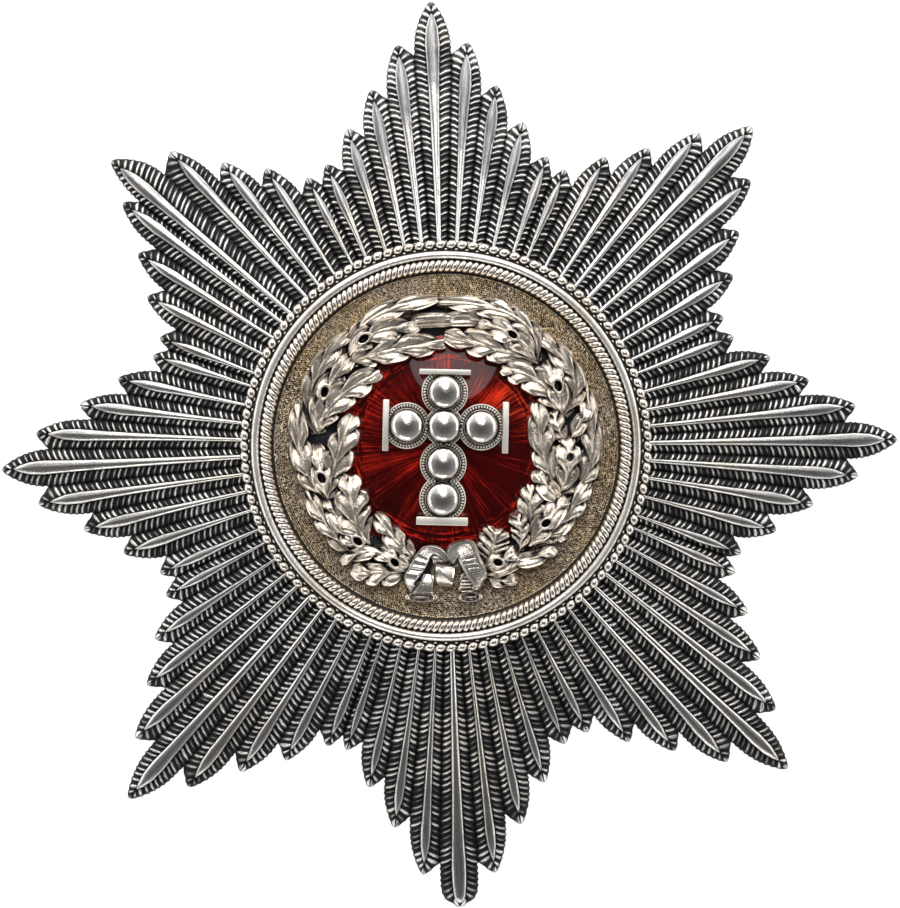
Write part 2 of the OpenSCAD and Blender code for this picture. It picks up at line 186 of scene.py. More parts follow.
class StarColours(bpy.types.PropertyGroup):
    """Colours of the star's metals and enamel."""

    silver: colour("Silver", "Bright struck silver", (0.82, 0.80, 0.775))
    warm: colour("Warm silver", "Silver with a thin yellow tarnish", (0.78, 0.72, 0.62))
    cool: colour("Cool silver", "Silver with a thin blue tarnish", (0.55, 0.58, 0.63))
    # Patina, also standing for painted shade along the ridges' feet and in the valleys between rays
    patina: colour("Patina", "Black patina in the cuts", (0.012, 0.012, 0.014))
    gilt: colour("Gilding", "Old gilding on the stippled ground", (1.0, 0.76, 0.46))
    gilt_dark: colour("Dark gilding", "Dirt and wear in the stippled ground", (0.035, 0.024, 0.014))
    enamel: colour("Enamel", "Deep translucent red", (0.06, 0.0008, 0.001))
    enamel_lit: colour("Lit enamel", "Red where the engraving shines through", (0.9, 0.03, 0.012))
    steel: colour("Steel", "Plain steel of the pin", (0.52, 0.51, 0.50))
    floor: colour("Floor", "Plain pale floor", (0.5, 0.5, 0.5))


class Value:
    """A socket in a tree of nodes. Sums and products of it add the Math nodes."""

    def __init__(self, nodes, socket):
        self.nodes = nodes
        self.socket = socket

    def _math(self, operation, a, b):
        return self.nodes.node("ShaderNodeMath", {"operation": operation}, {0: a, 1: b})

    def __add__(self, other):
        return self._math("ADD", self, other)

    def __radd__(self, other):
        return self._math("ADD", other, self)

    def __sub__(self, other):
        return self._math("SUBTRACT", self, other)

    def __rsub__(self, other):
        return self._math("SUBTRACT", other, self)

    def __mul__(self, other):
        return self._math("MULTIPLY", self, other)

    def __rmul__(self, other):
        return self._math("MULTIPLY", other, self)

    def __truediv__(self, other):
        return self._math("DIVIDE", self, other)

    def __pow__(self, other):
        return self._math("POWER", self, other)


class Nodes:
    """A tree of shader nodes under construction."""

    def __init__(self, tree):
        self.tree = tree

    def feed(self, socket, value):
        """Links a value to a socket, or sets the socket to plain numbers."""
        if isinstance(value, Value):
            self.tree.links.new(value.socket, socket)
        else:
            socket.default_value = value

    def node(self, kind, settings=None, inputs=None, output=0):
        """Adds a node: its settings or a ramp's grey stops first, then the values or links of its sockets."""
        new = self.tree.nodes.new(kind)
        for key, value in (settings or {}).items():
            if key == "stops":
                stops = new.color_ramp.elements
                while len(stops) < len(value):
                    stops.new(0.5)
                for stop, (place, grey) in zip(stops, value):
                    stop.position = place
                    stop.color = (grey, grey, grey, 1)
            else:
                setattr(new, key, value)
        for key, value in (inputs or {}).items():
            self.feed(new.inputs[key], value)
        return Value(self, new.outputs[output])

    def parts(self, vector):
        """The three numbers of a vector."""
        split = self.node("ShaderNodeSeparateXYZ", None, {0: vector}).socket.node
        return [Value(self, output) for output in split.outputs]

    def scaled(self, vector, by):
        """A vector, each of its numbers multiplied."""
        return self.node("ShaderNodeVectorMath", {"operation": "MULTIPLY"}, {0: vector, 1: by})


class Finish(Nodes):
    """A material under construction."""

    def __init__(self, name, **sockets):
        self.material = bpy.data.materials.new(name)
        self.material.use_nodes = True
        super().__init__(self.material.node_tree)
        self.wire(**sockets)

    def wire(self, **sockets):
        """Feeds the shader's sockets with values or plain numbers."""
        shader = self.tree.nodes["Principled BSDF"]
        for name, value in sockets.items():
            self.feed(shader.inputs[name.replace("_", " ")], value)
        return self.material

    def place(self, stretch=(1, 1, 1)):
        """Object coordinates in millimetres."""
        where = self.node("ShaderNodeTexCoord", output="Object")
        return self.scaled(where, tuple(s / MM for s in stretch))

    def along(self, name, stretch):
        """A vector attribute of the piece, stretched."""
        where = self.node("ShaderNodeAttribute", {"attribute_name": name}, output="Vector")
        return self.scaled(where, stretch)

    def mark(self, name):
        """A number that the piece carries at each of its points."""
        return self.node("ShaderNodeAttribute", {"attribute_name": name}, output="Fac")

    def noise(self, where, scale, detail, rough, warp=0.0):
        """Cloudy noise with a mean of a half."""
        return self.node("ShaderNodeTexNoise", None, {
            "Vector": where, "Scale": scale, "Detail": detail, "Roughness": rough, "Distortion": warp})

    def step(self, value, low, high, to_low=0.0, to_high=1.0):
        """A soft step from to_low at low to to_high at high."""
        return self.node("ShaderNodeMapRange", {"interpolation_type": "SMOOTHSTEP"}, {
            "Value": value, "From Min": low, "From Max": high, "To Min": to_low, "To Max": to_high})

    def mix(self, factor, a, b):
        """A colour between two, or one of them at a factor of 0 or 1."""
        a, b = (c if isinstance(c, Value) else (*tuple(c)[:3], 1) for c in (a, b))
        return self.node("ShaderNodeMix", {"data_type": "RGBA"}, {0: factor, 6: a, 7: b}, output=2)

    def bump(self, height, distance, strength, normal=None):
        """A bump of a height, over another one where that is given."""
        inputs = {"Height": height, "Distance": distance, "Strength": strength}
        if normal is not None:
            inputs["Normal"] = normal
        return self.node("ShaderNodeBump", None, inputs)


def select_only(*objects):
    """Selects these objects and makes the first the active one."""
    bpy.ops.object.select_all(action="DESELECT")
    for o in objects:
        o.select_set(True)
    bpy.context.view_layer.objects.active = objects[0]


def add_mesh(name, points, faces, edges=()):
    """A new object from corners and faces, with its place in its mesh."""
    mesh = bpy.data.meshes.new(name)
    mesh.from_pydata([tuple(p) for p in points], list(edges), [tuple(f) for f in faces])
    mesh.update()
    piece = bpy.data.objects.new(name, mesh)
    bpy.context.scene.collection.objects.link(piece)
    return piece


def points_of(piece):
    """The mesh's points as rows of three numbers."""
    flat = np.empty(len(piece.data.vertices) * 3)
    piece.data.vertices.foreach_get("co", flat)
    return flat.reshape(-1, 3)


def move_points(piece, points):
    """Puts the mesh's points at new places."""
    piece.data.vertices.foreach_set("co", np.asarray(points, float).ravel())
    piece.data.update()


def mark_points(piece, name, values):
    """Stores one number, or three, with each point. A single number goes to all of them."""
    values = np.asarray(values, np.float32)
    if values.ndim == 0:
        values = np.full(len(piece.data.vertices), values)
    if values.ndim == 1:
        piece.data.attributes.new(name, "FLOAT", "POINT").data.foreach_set("value", values)
    else:
        piece.data.attributes.new(name, "FLOAT_VECTOR", "POINT").data.foreach_set("vector", values.ravel())


def mend(piece, smooth=None):
    """Merges doubles, turns the faces outwards and smooths them up to an angle in degrees."""
    select_only(piece)
    bpy.ops.object.mode_set(mode="EDIT")
    bpy.ops.mesh.select_all(action="SELECT")
    bpy.ops.mesh.remove_doubles(threshold=DOUBLE)
    bpy.ops.mesh.normals_make_consistent(inside=False)
    bpy.ops.object.mode_set(mode="OBJECT")
    if smooth is not None:
        bpy.ops.object.shade_smooth_by_angle(angle=math.radians(smooth))


def spin(name, profile, steps, centre):
    """Turns a closed profile of radii and heights round an upright axis."""
    count = len(profile)
    edges = [(i, (i + 1) % count) for i in range(count)]
    piece = add_mesh(name, [(centre[0] + r, centre[1], z) for r, z in profile], [], edges)
    select_only(piece)
    bpy.ops.object.mode_set(mode="EDIT")
    bpy.ops.mesh.select_all(action="SELECT")
    bpy.ops.mesh.spin(steps=steps, angle=TAU, center=(*centre, 0), axis=(0, 0, 1))
    bpy.ops.mesh.select_all(action="SELECT")
    bpy.ops.mesh.remove_doubles(threshold=DOUBLE)
    bpy.ops.mesh.delete_loose(use_verts=True, use_edges=True, use_faces=False)
    bpy.ops.object.mode_set(mode="OBJECT")
    mend(piece)
    return piece


def copies(piece, places):
    """Copies a piece to each place, each copy with its own mesh, and joins them."""
    made = []
    for place in places:
        copy = piece.copy()
        copy.data = piece.data.copy()
        copy.data.transform(place)
        bpy.context.scene.collection.objects.link(copy)
        made.append(copy)
    bpy.data.objects.remove(piece)
    return join(made)


def join(pieces, name=None):
    """Joins pieces into the first."""
    if len(pieces) > 1:
        select_only(*pieces)
        bpy.ops.object.join()
    if name:
        pieces[0].name = name
        pieces[0].data.name = name
    return pieces[0]


def apply_modifier(piece, kind, **settings):
    """Adds a modifier and applies it."""
    modifier = piece.modifiers.new(kind.lower(), kind)
    for key, value in settings.items():
        setattr(modifier, key, value)
    select_only(piece)
    bpy.ops.object.modifier_apply(modifier=modifier.name)


def settle(piece):
    """Moves the object's own place, turn and size into its mesh."""
    select_only(piece)
    bpy.ops.object.transform_apply(location=True, rotation=True, scale=True)
    return piece


def ring(place, radius, wire_r, around, section):
    """A round wire bent to a ring that lies flat."""
    bpy.ops.mesh.primitive_torus_add(
        location=place, major_radius=radius, minor_radius=wire_r,
        major_segments=around, minor_segments=section)
    return settle(bpy.context.active_object)


def oval_ring(place, size, turn, wire_r, around, section):
    """A flattened ring: its place and half sizes in millimetres, its turn in degrees, its wire as a share."""
    piece = ring((0, 0, 0), 1.0, wire_r, around, section)
    piece.scale = [s * MM for s in size]
    piece.rotation_euler = (0, 0, math.radians(turn))
    piece.location = [p * MM for p in place]
    settle(piece)
    mend(piece, smooth=60)
    return piece


def ball(place, size, segments=8, rings=6):
    """A ball or an egg from its middle and its three half sizes."""
    bpy.ops.mesh.primitive_uv_sphere_add(
        segments=segments, ring_count=rings, radius=1.0, location=place, scale=size)
    return settle(bpy.context.active_object)


def sky_ways(count):
    """Ways to look up round a point's normal, a golden angle apart, over most of the half sphere."""
    golden, spread = 2.399963, 0.92
    ways = []
    for k in range(count):
        height = 1 - (k + 0.5) / count * spread
        flat = math.sqrt(1 - height * height)
        ways.append((flat * math.cos(golden * k), flat * math.sin(golden * k), height))
    return ways


def mark_openness(piece, reach, rays, others=()):
    """Stores how open each point lies, 0 in a recess to 1 in the open, as wear for patina and painted shade.
    """
    corners, faces = [], []
    for o in (piece, *others):
        start = len(corners)
        corners.extend(v.co.copy() for v in o.data.vertices)
        faces.extend([start + i for i in p.vertices] for p in o.data.polygons)
    tree = BVHTree.FromPolygons(corners, faces)
    ways = sky_ways(rays)
    lift = reach * 0.02
    openness = []
    for v in piece.data.vertices:
        n = v.normal
        side = n.orthogonal().normalized()
        other = n.cross(side)
        start = v.co + n * lift
        free = 0.0
        for x, y, z in ways:
            hit = tree.ray_cast(start, side * x + other * y + n * z, reach)
            free += 1.0 if hit[0] is None else (hit[3] / reach) ** 2 * 0.8
        openness.append(free / rays)
    mark_points(piece, "wear", openness)


def dress(piece, node, material):
    """Puts the finish on a piece and ties it to the frame."""
    piece.data.materials.clear()
    piece.data.materials.append(material)
    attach(piece, "root")
    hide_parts(node)


def tube_faces(stations, around):
    """Faces of a closed tube of rings, with a cap at each end."""
    k = np.arange(stations - 1)[:, None] * around
    j = np.arange(around)[None, :]
    after = (j + 1) % around
    faces = np.stack([k + j, k + after, k + around + after, k + around + j], -1).reshape(-1, 4).tolist()
    return [*faces, list(range(around))[::-1], [(stations - 1) * around + i for i in range(around)]]


def unit(v):
    """A vector's direction."""
    return v / np.linalg.norm(v)


def heading(degrees):
    """The direction of an angle in degrees, anticlockwise from the right."""
    return np.array([math.cos(math.radians(degrees)), math.sin(math.radians(degrees))])


def soft(x, low, high):
    """A smooth step from 0 at low to 1 at high."""
    t = np.clip((x - low) / (high - low), 0, 1)
    return t * t * (3 - 2 * t)


class Ray:
    """One struck ray, in millimetres from the medallion's centre, where all the rays meet."""

    def __init__(self, arm, step, centre):
        _, turn, share, reaches = ARMS[arm]
        offset, ridge = RAYS[abs(step)]
        lean = BENT_LEAN if arm == BENT_ARM and step == 0 else 0.0
        side = (step > 0) - (step < 0)
        self.arm, self.step = arm, step
        self.full = FULL_END if arm == FULL_ARM and step == 0 else 0.0
        self.ridge = ridge * (1.0 if self.full else share)
        self.tip = reaches[abs(step)] * heading(arm * 45 + turn + lean + side * offset) - centre
        self.length = np.linalg.norm(self.tip)
        self.out = self.tip / self.length
        self.left = np.array([-self.out[1], self.out[0]])

    def local(self, point):
        """A point as distance along the ray and to its left."""
        return float(point @ self.out), float(point @ self.left)


def lay_out_rays(sizes, centre):
    """The 72 rays anticlockwise, with the valleys and notches between them."""
    rays = [Ray(arm, step, centre) for arm in range(len(ARMS)) for step in range(-4, 5)]
    root_r = sizes.root_r / MM
    for i, ray in enumerate(rays):
        ray.reach = rays[i - ray.step].length
    for i, ray in enumerate(rays):
        before = rays[i - 1]
        root = root_r * unit(ray.out + before.out)
        share = 0.56 if ray.length < before.length else 0.44
        notch_r = min(ray.length, before.length) - NOTCH
        notch = notch_r * unit(share * ray.out + (1 - share) * before.out)
        shared = (ray.reach + before.reach) / 2
        ray.right_valley = (ray.local(root), ray.local(notch), shared)
        before.left_valley = (before.local(root), before.local(notch), shared)
    return rays


def half_width(ray, valley, x):
    """Distance of a ray's side from its spine, at distances x along it."""
    (root_x, root_y), (notch_x, notch_y), _ = valley
    root_y, notch_y = abs(root_y), abs(notch_y)
    # Inside the notch the side is straight, outside it rounds off to the blunt tip
    inner = root_y + (notch_y - root_y) * (x - root_x) / (notch_x - root_x)
    back, free = ray.length - x, ray.length - notch_x
    fullness = min(max(free / 2.1, 1.0), 2.5) + 5 * ray.full
    rounding = 0.22 + 0.4 * ray.full
    outer = BLUNT + (notch_y - BLUNT) * (1 - (1 - np.clip(back / free, 0, 1)) ** fullness)
    outer = outer * np.sqrt(np.clip(back / rounding, 0, 1))
    return np.where(x < notch_x, inner, outer)


def draw_out(ray, back):
    """Distances back from the tip, drawn towards it where the ridge has a full end."""
    return back - ray.full * np.clip(1 - (back - 1.2) / 2.5, 0, 1)


def ridge_half(ray, x, width=1.0):
    """Half the ridge's width at distances x along a ray."""
    widest = RIDGE_END[-1][0]
    taper = max(ray.length - TAPER_R - widest, 1.0)
    places = [place for place, _ in RIDGE_END] + [widest + share * taper for share, _ in RIDGE_TAPER]
    widths = np.array([w for _, w in (*RIDGE_END, *RIDGE_TAPER)])
    widths[:len(RIDGE_END) - 1] **= 1 / (1 + 2 * ray.full)
    back = ray.length - x
    return np.interp(back, draw_out(ray, np.array(places)), widths) * ray.ridge / 2 * width


def reach_beside(ray, valley, x, share):
    """Reach of the cone under a place: the ray's own at its spine (share 0), the common one in the valley."""
    _, (notch_x, _), shared = valley
    return ray.reach + (shared - ray.reach) * (share * np.clip((notch_x - x) / 2 + 1, 0, 1))


def cone(sizes, x, y, reach):
    """Height of the star's underside, a cone that comes down to the ground at the arm's tip."""
    root_r = sizes.root_r / MM
    return sizes.hollow / MM * (reach - np.hypot(x, y)) / (reach - root_r)


def ray_plate(ray, sizes, rng):
    """Points, faces, wear and grain of the toothed plate of a ray.

    The grain gives each point's distance from the ray's tip and from its spine, and a 0 for the ray's number.
    """
    pitch, sheet = sizes.tooth / MM, sizes.sheet / MM
    valley_depth, cut = sizes.valley / MM, sizes.cut / MM
    # Each tooth has a small shift, a depth and a polish of its own
    phases, depths = np.array(TOOTH).T
    count = int((ray.length - TOOTHLESS - PLATE_START) / pitch)
    jitter = rng.uniform(-0.08, 0.08, count)
    t = (PLATE_START + (np.arange(count)[:, None] + jitter[:, None] + phases) * pitch).ravel()
    depth = (depths * rng.uniform(0.7, 1.0, count)[:, None]).ravel()
    polish = np.repeat(rng.uniform(0.5, 1.0, count), len(phases))
    # The tip is plain
    last = PLATE_START + count * pitch
    t = np.append(t, [last, min(last + 0.2, ray.length - 0.12), ray.length - 0.04])
    depth = np.append(depth, [0.3, 0.0, 0.0])
    polish = np.append(polish, [0.9, 0.9, 0.9])
    back, spine = ray.length - t, np.zeros(len(t))
    foot = np.minimum(np.maximum(ridge_half(ray, t) - 0.04, 0.05), 0.6 * back)
    rows, wear, grain = [], [], []
    for side, valley in ((1, ray.left_valley), (-1, ray.right_valley)):
        # The cuts lean outwards, and they scallop the edge where it is free of the next ray
        width = half_width(ray, valley, t)
        shift = math.tan(sizes.lean) * np.maximum(width - foot, 0)
        shift = np.minimum(shift + 0.5 * np.clip(1 - back / 3.0, 0, 1) ** 2, 0.9 * back)
        edge_x = t + shift
        edge_y = half_width(ray, valley, edge_x)
        free = edge_x > valley[1][0]
        edge_y = np.where(free, edge_y - 0.09 * depth * np.minimum(1, edge_y), edge_y)
        for share, shade, fall in FLANK[::side]:
            arch = math.sin(math.pi * share)
            x = t + share * shift + 0.07 * arch * np.minimum(1, back / 3)
            y = foot + share * np.maximum(edge_y - foot, 0.02)
            low = cone(sizes, x, y, reach_beside(ray, valley, x, share))
            deep = cut * depth * (1 - 0.3 * share)
            z = low + sheet - valley_depth * share ** 1.5 + 0.05 * arch - deep
            rows.append(np.stack([x, side * y, z], 1))
            # Worn brightness of each line, with its painted shade at the valley and at the ridge's foot
            wear.append((1 - fall * depth) * polish * shade * 0.95)
            grain.append(np.stack([ray.length - x, side * y, spine], 1))
    # The underside: its right edge, its middle and its left edge
    right, left = rows[-1][:, :2].T, rows[0][:, :2].T
    for (x, y), valley, share in ((right, ray.right_valley, 1.0), ((t, spine), ray.left_valley, 0.0),
                                  (left, ray.left_valley, 1.0)):
        rows.append(np.stack([x, y, cone(sizes, x, y, reach_beside(ray, valley, x, share))], 1))
        wear.append(np.full(len(t), 0.6))
        grain.append(np.stack([back, spine, spine], 1))
    rings, wear, grain = (np.stack(lines, 1) for lines in (rows, wear, grain))
    faces = tube_faces(*rings.shape[:2])
    return rings.reshape(-1, 3), faces, wear.ravel(), grain.reshape(-1, 3)


def ray_ridge(ray, sizes, rng):
    """Points, faces, wear and grain of the ridge of a ray, a bevelled bar sunk into the plate."""
    sheet = sizes.sheet / MM
    longest = ray.length - RIDGE_START
    back = draw_out(ray, np.array([b for b in RIDGE_RINGS if b < longest - 0.6] + [longest]))
    x = ray.length - back
    half = ridge_half(ray, x, 1 + rng.uniform(-0.05, 0.05)) + 0.015
    skew = rng.uniform(-0.12, 0.12)
    breadth = half / (ray.ridge / 2)
    crest = np.interp(breadth, [0, 0.26, 0.6, 1.0], [0.05, 0.19, 0.5, 0.7]) * sizes.ridge / MM
    wide = soft(breadth, 0.4, 0.85)
    # The ridges of rays that point to the left or the right are rounder
    turned = min(1.0, 1.5 * abs(ray.out[0]))
    rings, wear = [], []
    for side in (-1, 1):
        for roof_y, roof_z, flat_y, flat_z, shade in RIDGE_SECTION[::-side]:
            if side > 0 and roof_y == 0:
                continue
            across = side * (roof_y + (flat_y - roof_y) * wide)
            rounded = flat_z - 0.2 * turned * flat_y * (1 - flat_y ** 6)
            up = roof_z + (rounded - roof_z) * wide
            y = half * (across + skew * (1 - np.abs(across)))
            low = cone(sizes, x, y, ray.reach) + sheet
            rings.append(np.stack([x, y, low + np.where(up < 0, -RIDGE_FOOT, up * crest)], 1))
            # Worn brightness of the section's lines, darkened as painted shade at the ridge's foot
            wear.append(np.full(len(x), shade))
    rings, wear = np.stack(rings, 1), np.stack(wear, 1)
    faces = [face[::-1] for face in tube_faces(*rings.shape[:2])]
    points = rings.reshape(-1, 3)
    grain = np.stack([ray.length - points[:, 0], points[:, 1], 0 * points[:, 0]], 1)
    return points, faces, wear.ravel(), grain


def struck_silver(c):
    """Struck silver, black in the cuts and worn bright on ridges and teeth, with painted shade and light."""
    f = Finish("oxidised_silver")
    mm = f.place()
    wear = f.mark("wear")
    grain = f.along("ray", (0.5, 9.0, 3.1))
    streak = f.noise(grain, 1.6, 4.0, 0.65)
    blotch = f.noise(mm, 0.12, 3.0, 0.6)
    smear = f.noise(f.along("ray", (0.35, 3.0, 3.1)), 1.2, 3.0, 0.7)
    speck = f.noise(mm, 5.0, 3.0, 0.7)
    tarnish = f.noise(mm, 0.35, 4.0, 0.65)
    # Painted light: the upper arms are made brighter, as if more light fell on them
    _, up, _ = f.parts(mm)
    bare = wear + (speck - 0.5) * 0.3 + (tarnish - 0.5) * 0.25 + f.step(up, 22.0, 34.0) * 0.14
    clean = f.step(bare, 0.25, 0.75)
    # Rubbed, duller patches on the ridges towards the tips, most of all on the upper arms
    back, _, _ = f.parts(f.along("ray", (1, 1, 1)))
    dull = f.step(back + (tarnish - 0.5) * 14 + (blotch - 0.5) * 18, 10.0, 6.0) * f.step(wear, 0.9, 1.0)
    dull = dull * f.step(up, 18.0, 32.0, 0.35, 1.0)
    tint = f.mix(f.step(blotch, 0.45, 0.7) * 0.7, c.silver, c.warm)
    tint = f.mix(f.step(tarnish, 0.5, 0.8) * 0.5, tint, c.cool)
    tint = f.mix(dull, tint, (0.36, 0.36, 0.375))
    tint = f.mix(f.step(smear, 0.44, 0.66) * (dull * 0.55 + 0.15), tint, (0.1, 0.1, 0.108))
    tint = f.mix(f.step(speck, 0.62, 0.8) * (0.25 + 0.6 * dull), tint, c.patina)
    base = f.mix(clean, c.patina, f.mix(f.step(bare, 0.35, 0.7), (0.32, 0.315, 0.31), tint))
    rough = 0.14 + 0.12 * streak + (1 - clean) * 0.3 + 0.16 * dull + 0.05 * f.step(wear, 0.99, 0.93)
    normal = f.bump(streak, 0.00003, 0.45)
    normal = f.bump(speck, 0.00003, 0.25, normal)
    return f.wire(Base_Color=base, Roughness=rough, Metallic=0.55 + 0.45 * clean, Normal=normal)


def place_on_star(points, ray, centre):
    """Places on the star, in metres, of points given in millimetres along, left of and above a ray."""
    flat = np.outer(points[:, 0], ray.out) + np.outer(points[:, 1], ray.left) + centre
    return np.column_stack([flat, points[:, 2]]) * MM


class BREASTSTAR_OT_star(bpy.types.Operator):
    """Strikes the eight arms of nine toothed rays each, and the plate that joins them"""

    bl_idname = "breaststar.star"
    bl_label = "Star of Rays"

    def execute(self, context):
        sizes = context.scene.star_sizes
        m = context.scene.medallion_sizes
        centre = np.array([m.across, m.up]) / MM
        silver = struck_silver(context.scene.star_colours)
        rng = np.random.default_rng(11)
        rays = lay_out_rays(sizes, centre)
        for arm, (name, *_) in enumerate(ARMS):
            points, faces, wear, grain = [], [], [], []
            total = 0
            for number, ray in enumerate(rays):
                if ray.arm != arm:
                    continue
                for build in (ray_plate, ray_ridge):
                    corners, polygons, worn, drawn = build(ray, sizes, rng)
                    drawn[:, 2] = number
                    points.append(place_on_star(corners, ray, centre))
                    faces.extend([[total + i for i in polygon] for polygon in polygons])
                    wear.append(worn)
                    grain.append(drawn)
                    total += len(corners)
            piece = add_mesh("star_arm_" + name, np.concatenate(points), faces)
            mark_points(piece, "wear", np.concatenate(wear))
            mark_points(piece, "ray", np.concatenate(grain))
            select_only(piece)
            bpy.ops.object.shade_smooth_by_angle(angle=math.radians(62))
            dress(piece, "star_body", silver)
        low, high = sizes.hollow, m.seat - 0.05 * MM
        hub = spin("star_hub", [
            (0.0, low + 0.5 * MM), (0.0, low), (18.2 * MM, low), (18.9 * MM, low + 0.1 * MM),
            (18.9 * MM, high - 0.3 * MM), (18.6 * MM, high), (0.0, high)], 128, tuple(centre * MM))
        mend(hub, smooth=30)
        mark_points(hub, "wear", 0.75)
        mark_points(hub, "ray", points_of(hub) / MM + 40)
        dress(hub, "star_body", silver)
        return {"FINISHED"}


def worn_silver(c, name, base, *, dark, rough, cold, grain, shade=0.0, deep=(0.025, 0.028, 0.038),
                cast=0.1, rugged=0.00004, metal=1.0):
    """Worn silver of a base colour, with patina and painted shade where it lies deep, bright on its marked
    lines.

    The patina and the painted shade thin from the first openness in dark to the second.
    Marked lines are worn bright, in part as painted highlight. cold is the share of blue tarnish, grain
    the fineness of the specks, shade the share of painted brown shade in half-open places, deep the colour
    of patina and painted shade, cast the strength of the casting's ripples and rugged the height of the
    specks in metres.
    """
    f = Finish(name)
    mm = f.place()
    # Patina and painted shade in recesses; the line marks add worn lines with painted highlights and shade
    wear = f.mark("wear") + f.mark("line") * 0.3
    blotch = f.noise(mm, 0.25, 4.0, 0.6)
    fine = f.noise(mm, grain, 4.0, 0.7)
    tarnish = f.noise(mm, 1.3, 4.0, 0.65)
    bare = wear + (fine - 0.5) * 0.2 + (tarnish - 0.5) * 0.3
    clean = f.step(bare, *dark)
    # Painted shade: half-open places are darkened towards brown
    painted_shade = f.step(bare, dark[1] + 0.4, dark[1] - 0.05) * shade
    tint = f.mix(f.step(blotch, 0.42, 0.7), base, c.warm)
    tint = f.mix(f.step(tarnish, 0.55, 0.8) * cold, tint, c.cool)
    tint = f.mix(painted_shade, tint, (0.24, 0.21, 0.18))
    tint = f.mix(clean, deep, tint)
    normal = f.bump(fine, rugged, 0.5)
    normal = f.bump(tarnish, 0.00016, cast, normal)
    return f.wire(Base_Color=tint, Roughness=rough + 0.14 * fine + (1 - clean) * 0.3,
                  Metallic=(0.6 + 0.4 * clean) * metal, Normal=normal)


class BREASTSTAR_OT_rim(bpy.types.Operator):
    """Builds the band with its rope ring, smooth ring and beaded wire"""

    bl_idname = "breaststar.rim"
    bl_label = "Medallion Rim"

    def execute(self, context):
        m = context.scene.medallion_sizes
        c = context.scene.star_colours
        centre, seat = (m.across, m.up), m.seat
        # black stands for the patina and the painted shade between the wires
        black = (0.03, 0.028, 0.026)  # the patina between the wires
        silver = worn_silver(c, "rim_silver", (0.94, 0.87, 0.79), dark=(0.35, 0.68), rough=0.15, cold=0.3,
                             grain=6.0, shade=0.25, deep=black)
        bright = worn_silver(c, "ring_silver", (1.0, 0.97, 0.93), dark=(0.35, 0.68), rough=0.22, cold=0.3,
                             grain=6.0, deep=black, metal=0.87)
        band = spin("rim_band", [
            (16.75 * MM, seat), (19.3 * MM, seat), (19.35 * MM, seat + 0.2 * MM),
            (19.1 * MM, seat + 0.42 * MM), (16.9 * MM, seat + 0.42 * MM), (16.75 * MM, seat + 0.36 * MM)],
            160, centre)
        mend(band, smooth=30)
        mark_points(band, "wear", 0.12)

        rope = join([self.strand(m, phase) for phase in (0.0, math.pi)], "rim_rope")
        mend(rope, smooth=60)
        mark_openness(rope, 0.5 * MM, 10, (band,))

        smooth_ring = ring((*centre, seat + 0.58 * MM), m.ring_r, 0.385 * MM, 240, 16)
        smooth_ring.name = "rim_ring"
        mend(smooth_ring, smooth=60)
        mark_openness(smooth_ring, 0.6 * MM, 8, (band, rope))

        beads = self.beads(m, centre)
        mark_openness(beads, 0.5 * MM, 10, (band, smooth_ring))
        for piece in (band, rope, smooth_ring, beads):
            dress(piece, "medallion_rim", bright if piece is smooth_ring else silver)
        return {"FINISHED"}

    def beads(self, m, centre):
        """The beaded wire: leaning lozenges with a fine grain after each, on a thin wire."""
        bead = ball((0, 0, 0), (1, 1, 1), 12, 6)
        points = points_of(bead)
        turn, corner = np.arctan2(points[:, 1], points[:, 0]), 1.5
        drawn_in = (np.abs(np.cos(turn)) ** corner + np.abs(np.sin(turn)) ** corner) ** (-1 / corner)
        points[:, :2] *= drawn_in[:, None]
        move_points(bead, points)
        bead.data.transform(
            Matrix.Translation((m.bead_r, 0, m.seat + 0.33 * MM)) @ Matrix.Rotation(math.radians(22), 4, "Z")
            @ Matrix.Diagonal((0.46 * MM, 0.6 * MM, 0.44 * MM, 1)))
        grain = ball((m.bead_r - 0.46 * MM, 0.52 * MM, m.seat + 0.48 * MM), (0.1 * MM, 0.19 * MM, 0.17 * MM))
        middle, step = Matrix.Translation((*centre, 0)), TAU / m.beads
        places = [middle @ Matrix.Rotation(k * step, 4, "Z") for k in range(m.beads)]
        row = copies(join([bead, grain]), places)
        mend(row, smooth=60)
        wire = ring((*centre, m.seat + 0.22 * MM), m.bead_r, 0.2 * MM, 236, 8)
        mend(wire, smooth=60)
        return join([row, wire], "rim_beads")

    def strand(self, m, phase):
        """One of the two strands that wind round the rope's middle, with 12 points to a turn."""
        count = m.rope_turns * 12
        curve = bpy.data.curves.new("strand", "CURVE")
        curve.dimensions = "3D"
        curve.bevel_depth = 0.27 * MM
        curve.bevel_resolution = 2
        line = curve.splines.new("POLY")
        line.points.add(count - 1)
        line.use_cyclic_u = True
        for i in range(count):
            turn = TAU * i / count
            twist = m.rope_turns * turn + phase
            r = m.rope_r + 0.36 * MM * math.cos(twist)
            z = m.seat + 0.6 * MM + 0.27 * MM * math.sin(twist)
            line.points[i].co = (m.across + r * math.cos(turn), m.up + r * math.sin(turn), z, 1)
        strand = bpy.data.objects.new("strand", curve)
        bpy.context.scene.collection.objects.link(strand)
        select_only(strand)
        bpy.ops.object.convert(target="MESH")
        return bpy.context.active_object


def stippled_gilding(c):
    """Matt stippled old gilding."""
    f = Finish("gilt_ground")
    mm = f.place()
    grain = f.mark("wear")
    fine = f.noise(mm, 9.0, 3.0, 0.7)
    cloud = f.noise(mm, 0.16, 3.0, 0.55)
    up = f.step(grain + (fine - 0.5) * 0.6, 0.1, 0.56)
    gold = f.mix(f.step(cloud, 0.4, 0.62), c.gilt, (0.95, 0.79, 0.6))
    base = f.mix(up, c.gilt_dark, gold)
    return f.wire(Base_Color=base, Roughness=0.3 - 0.06 * up, Metallic=0.85 - 0.25 * up,
                  Normal=f.bump(fine, 0.00006, 0.6))


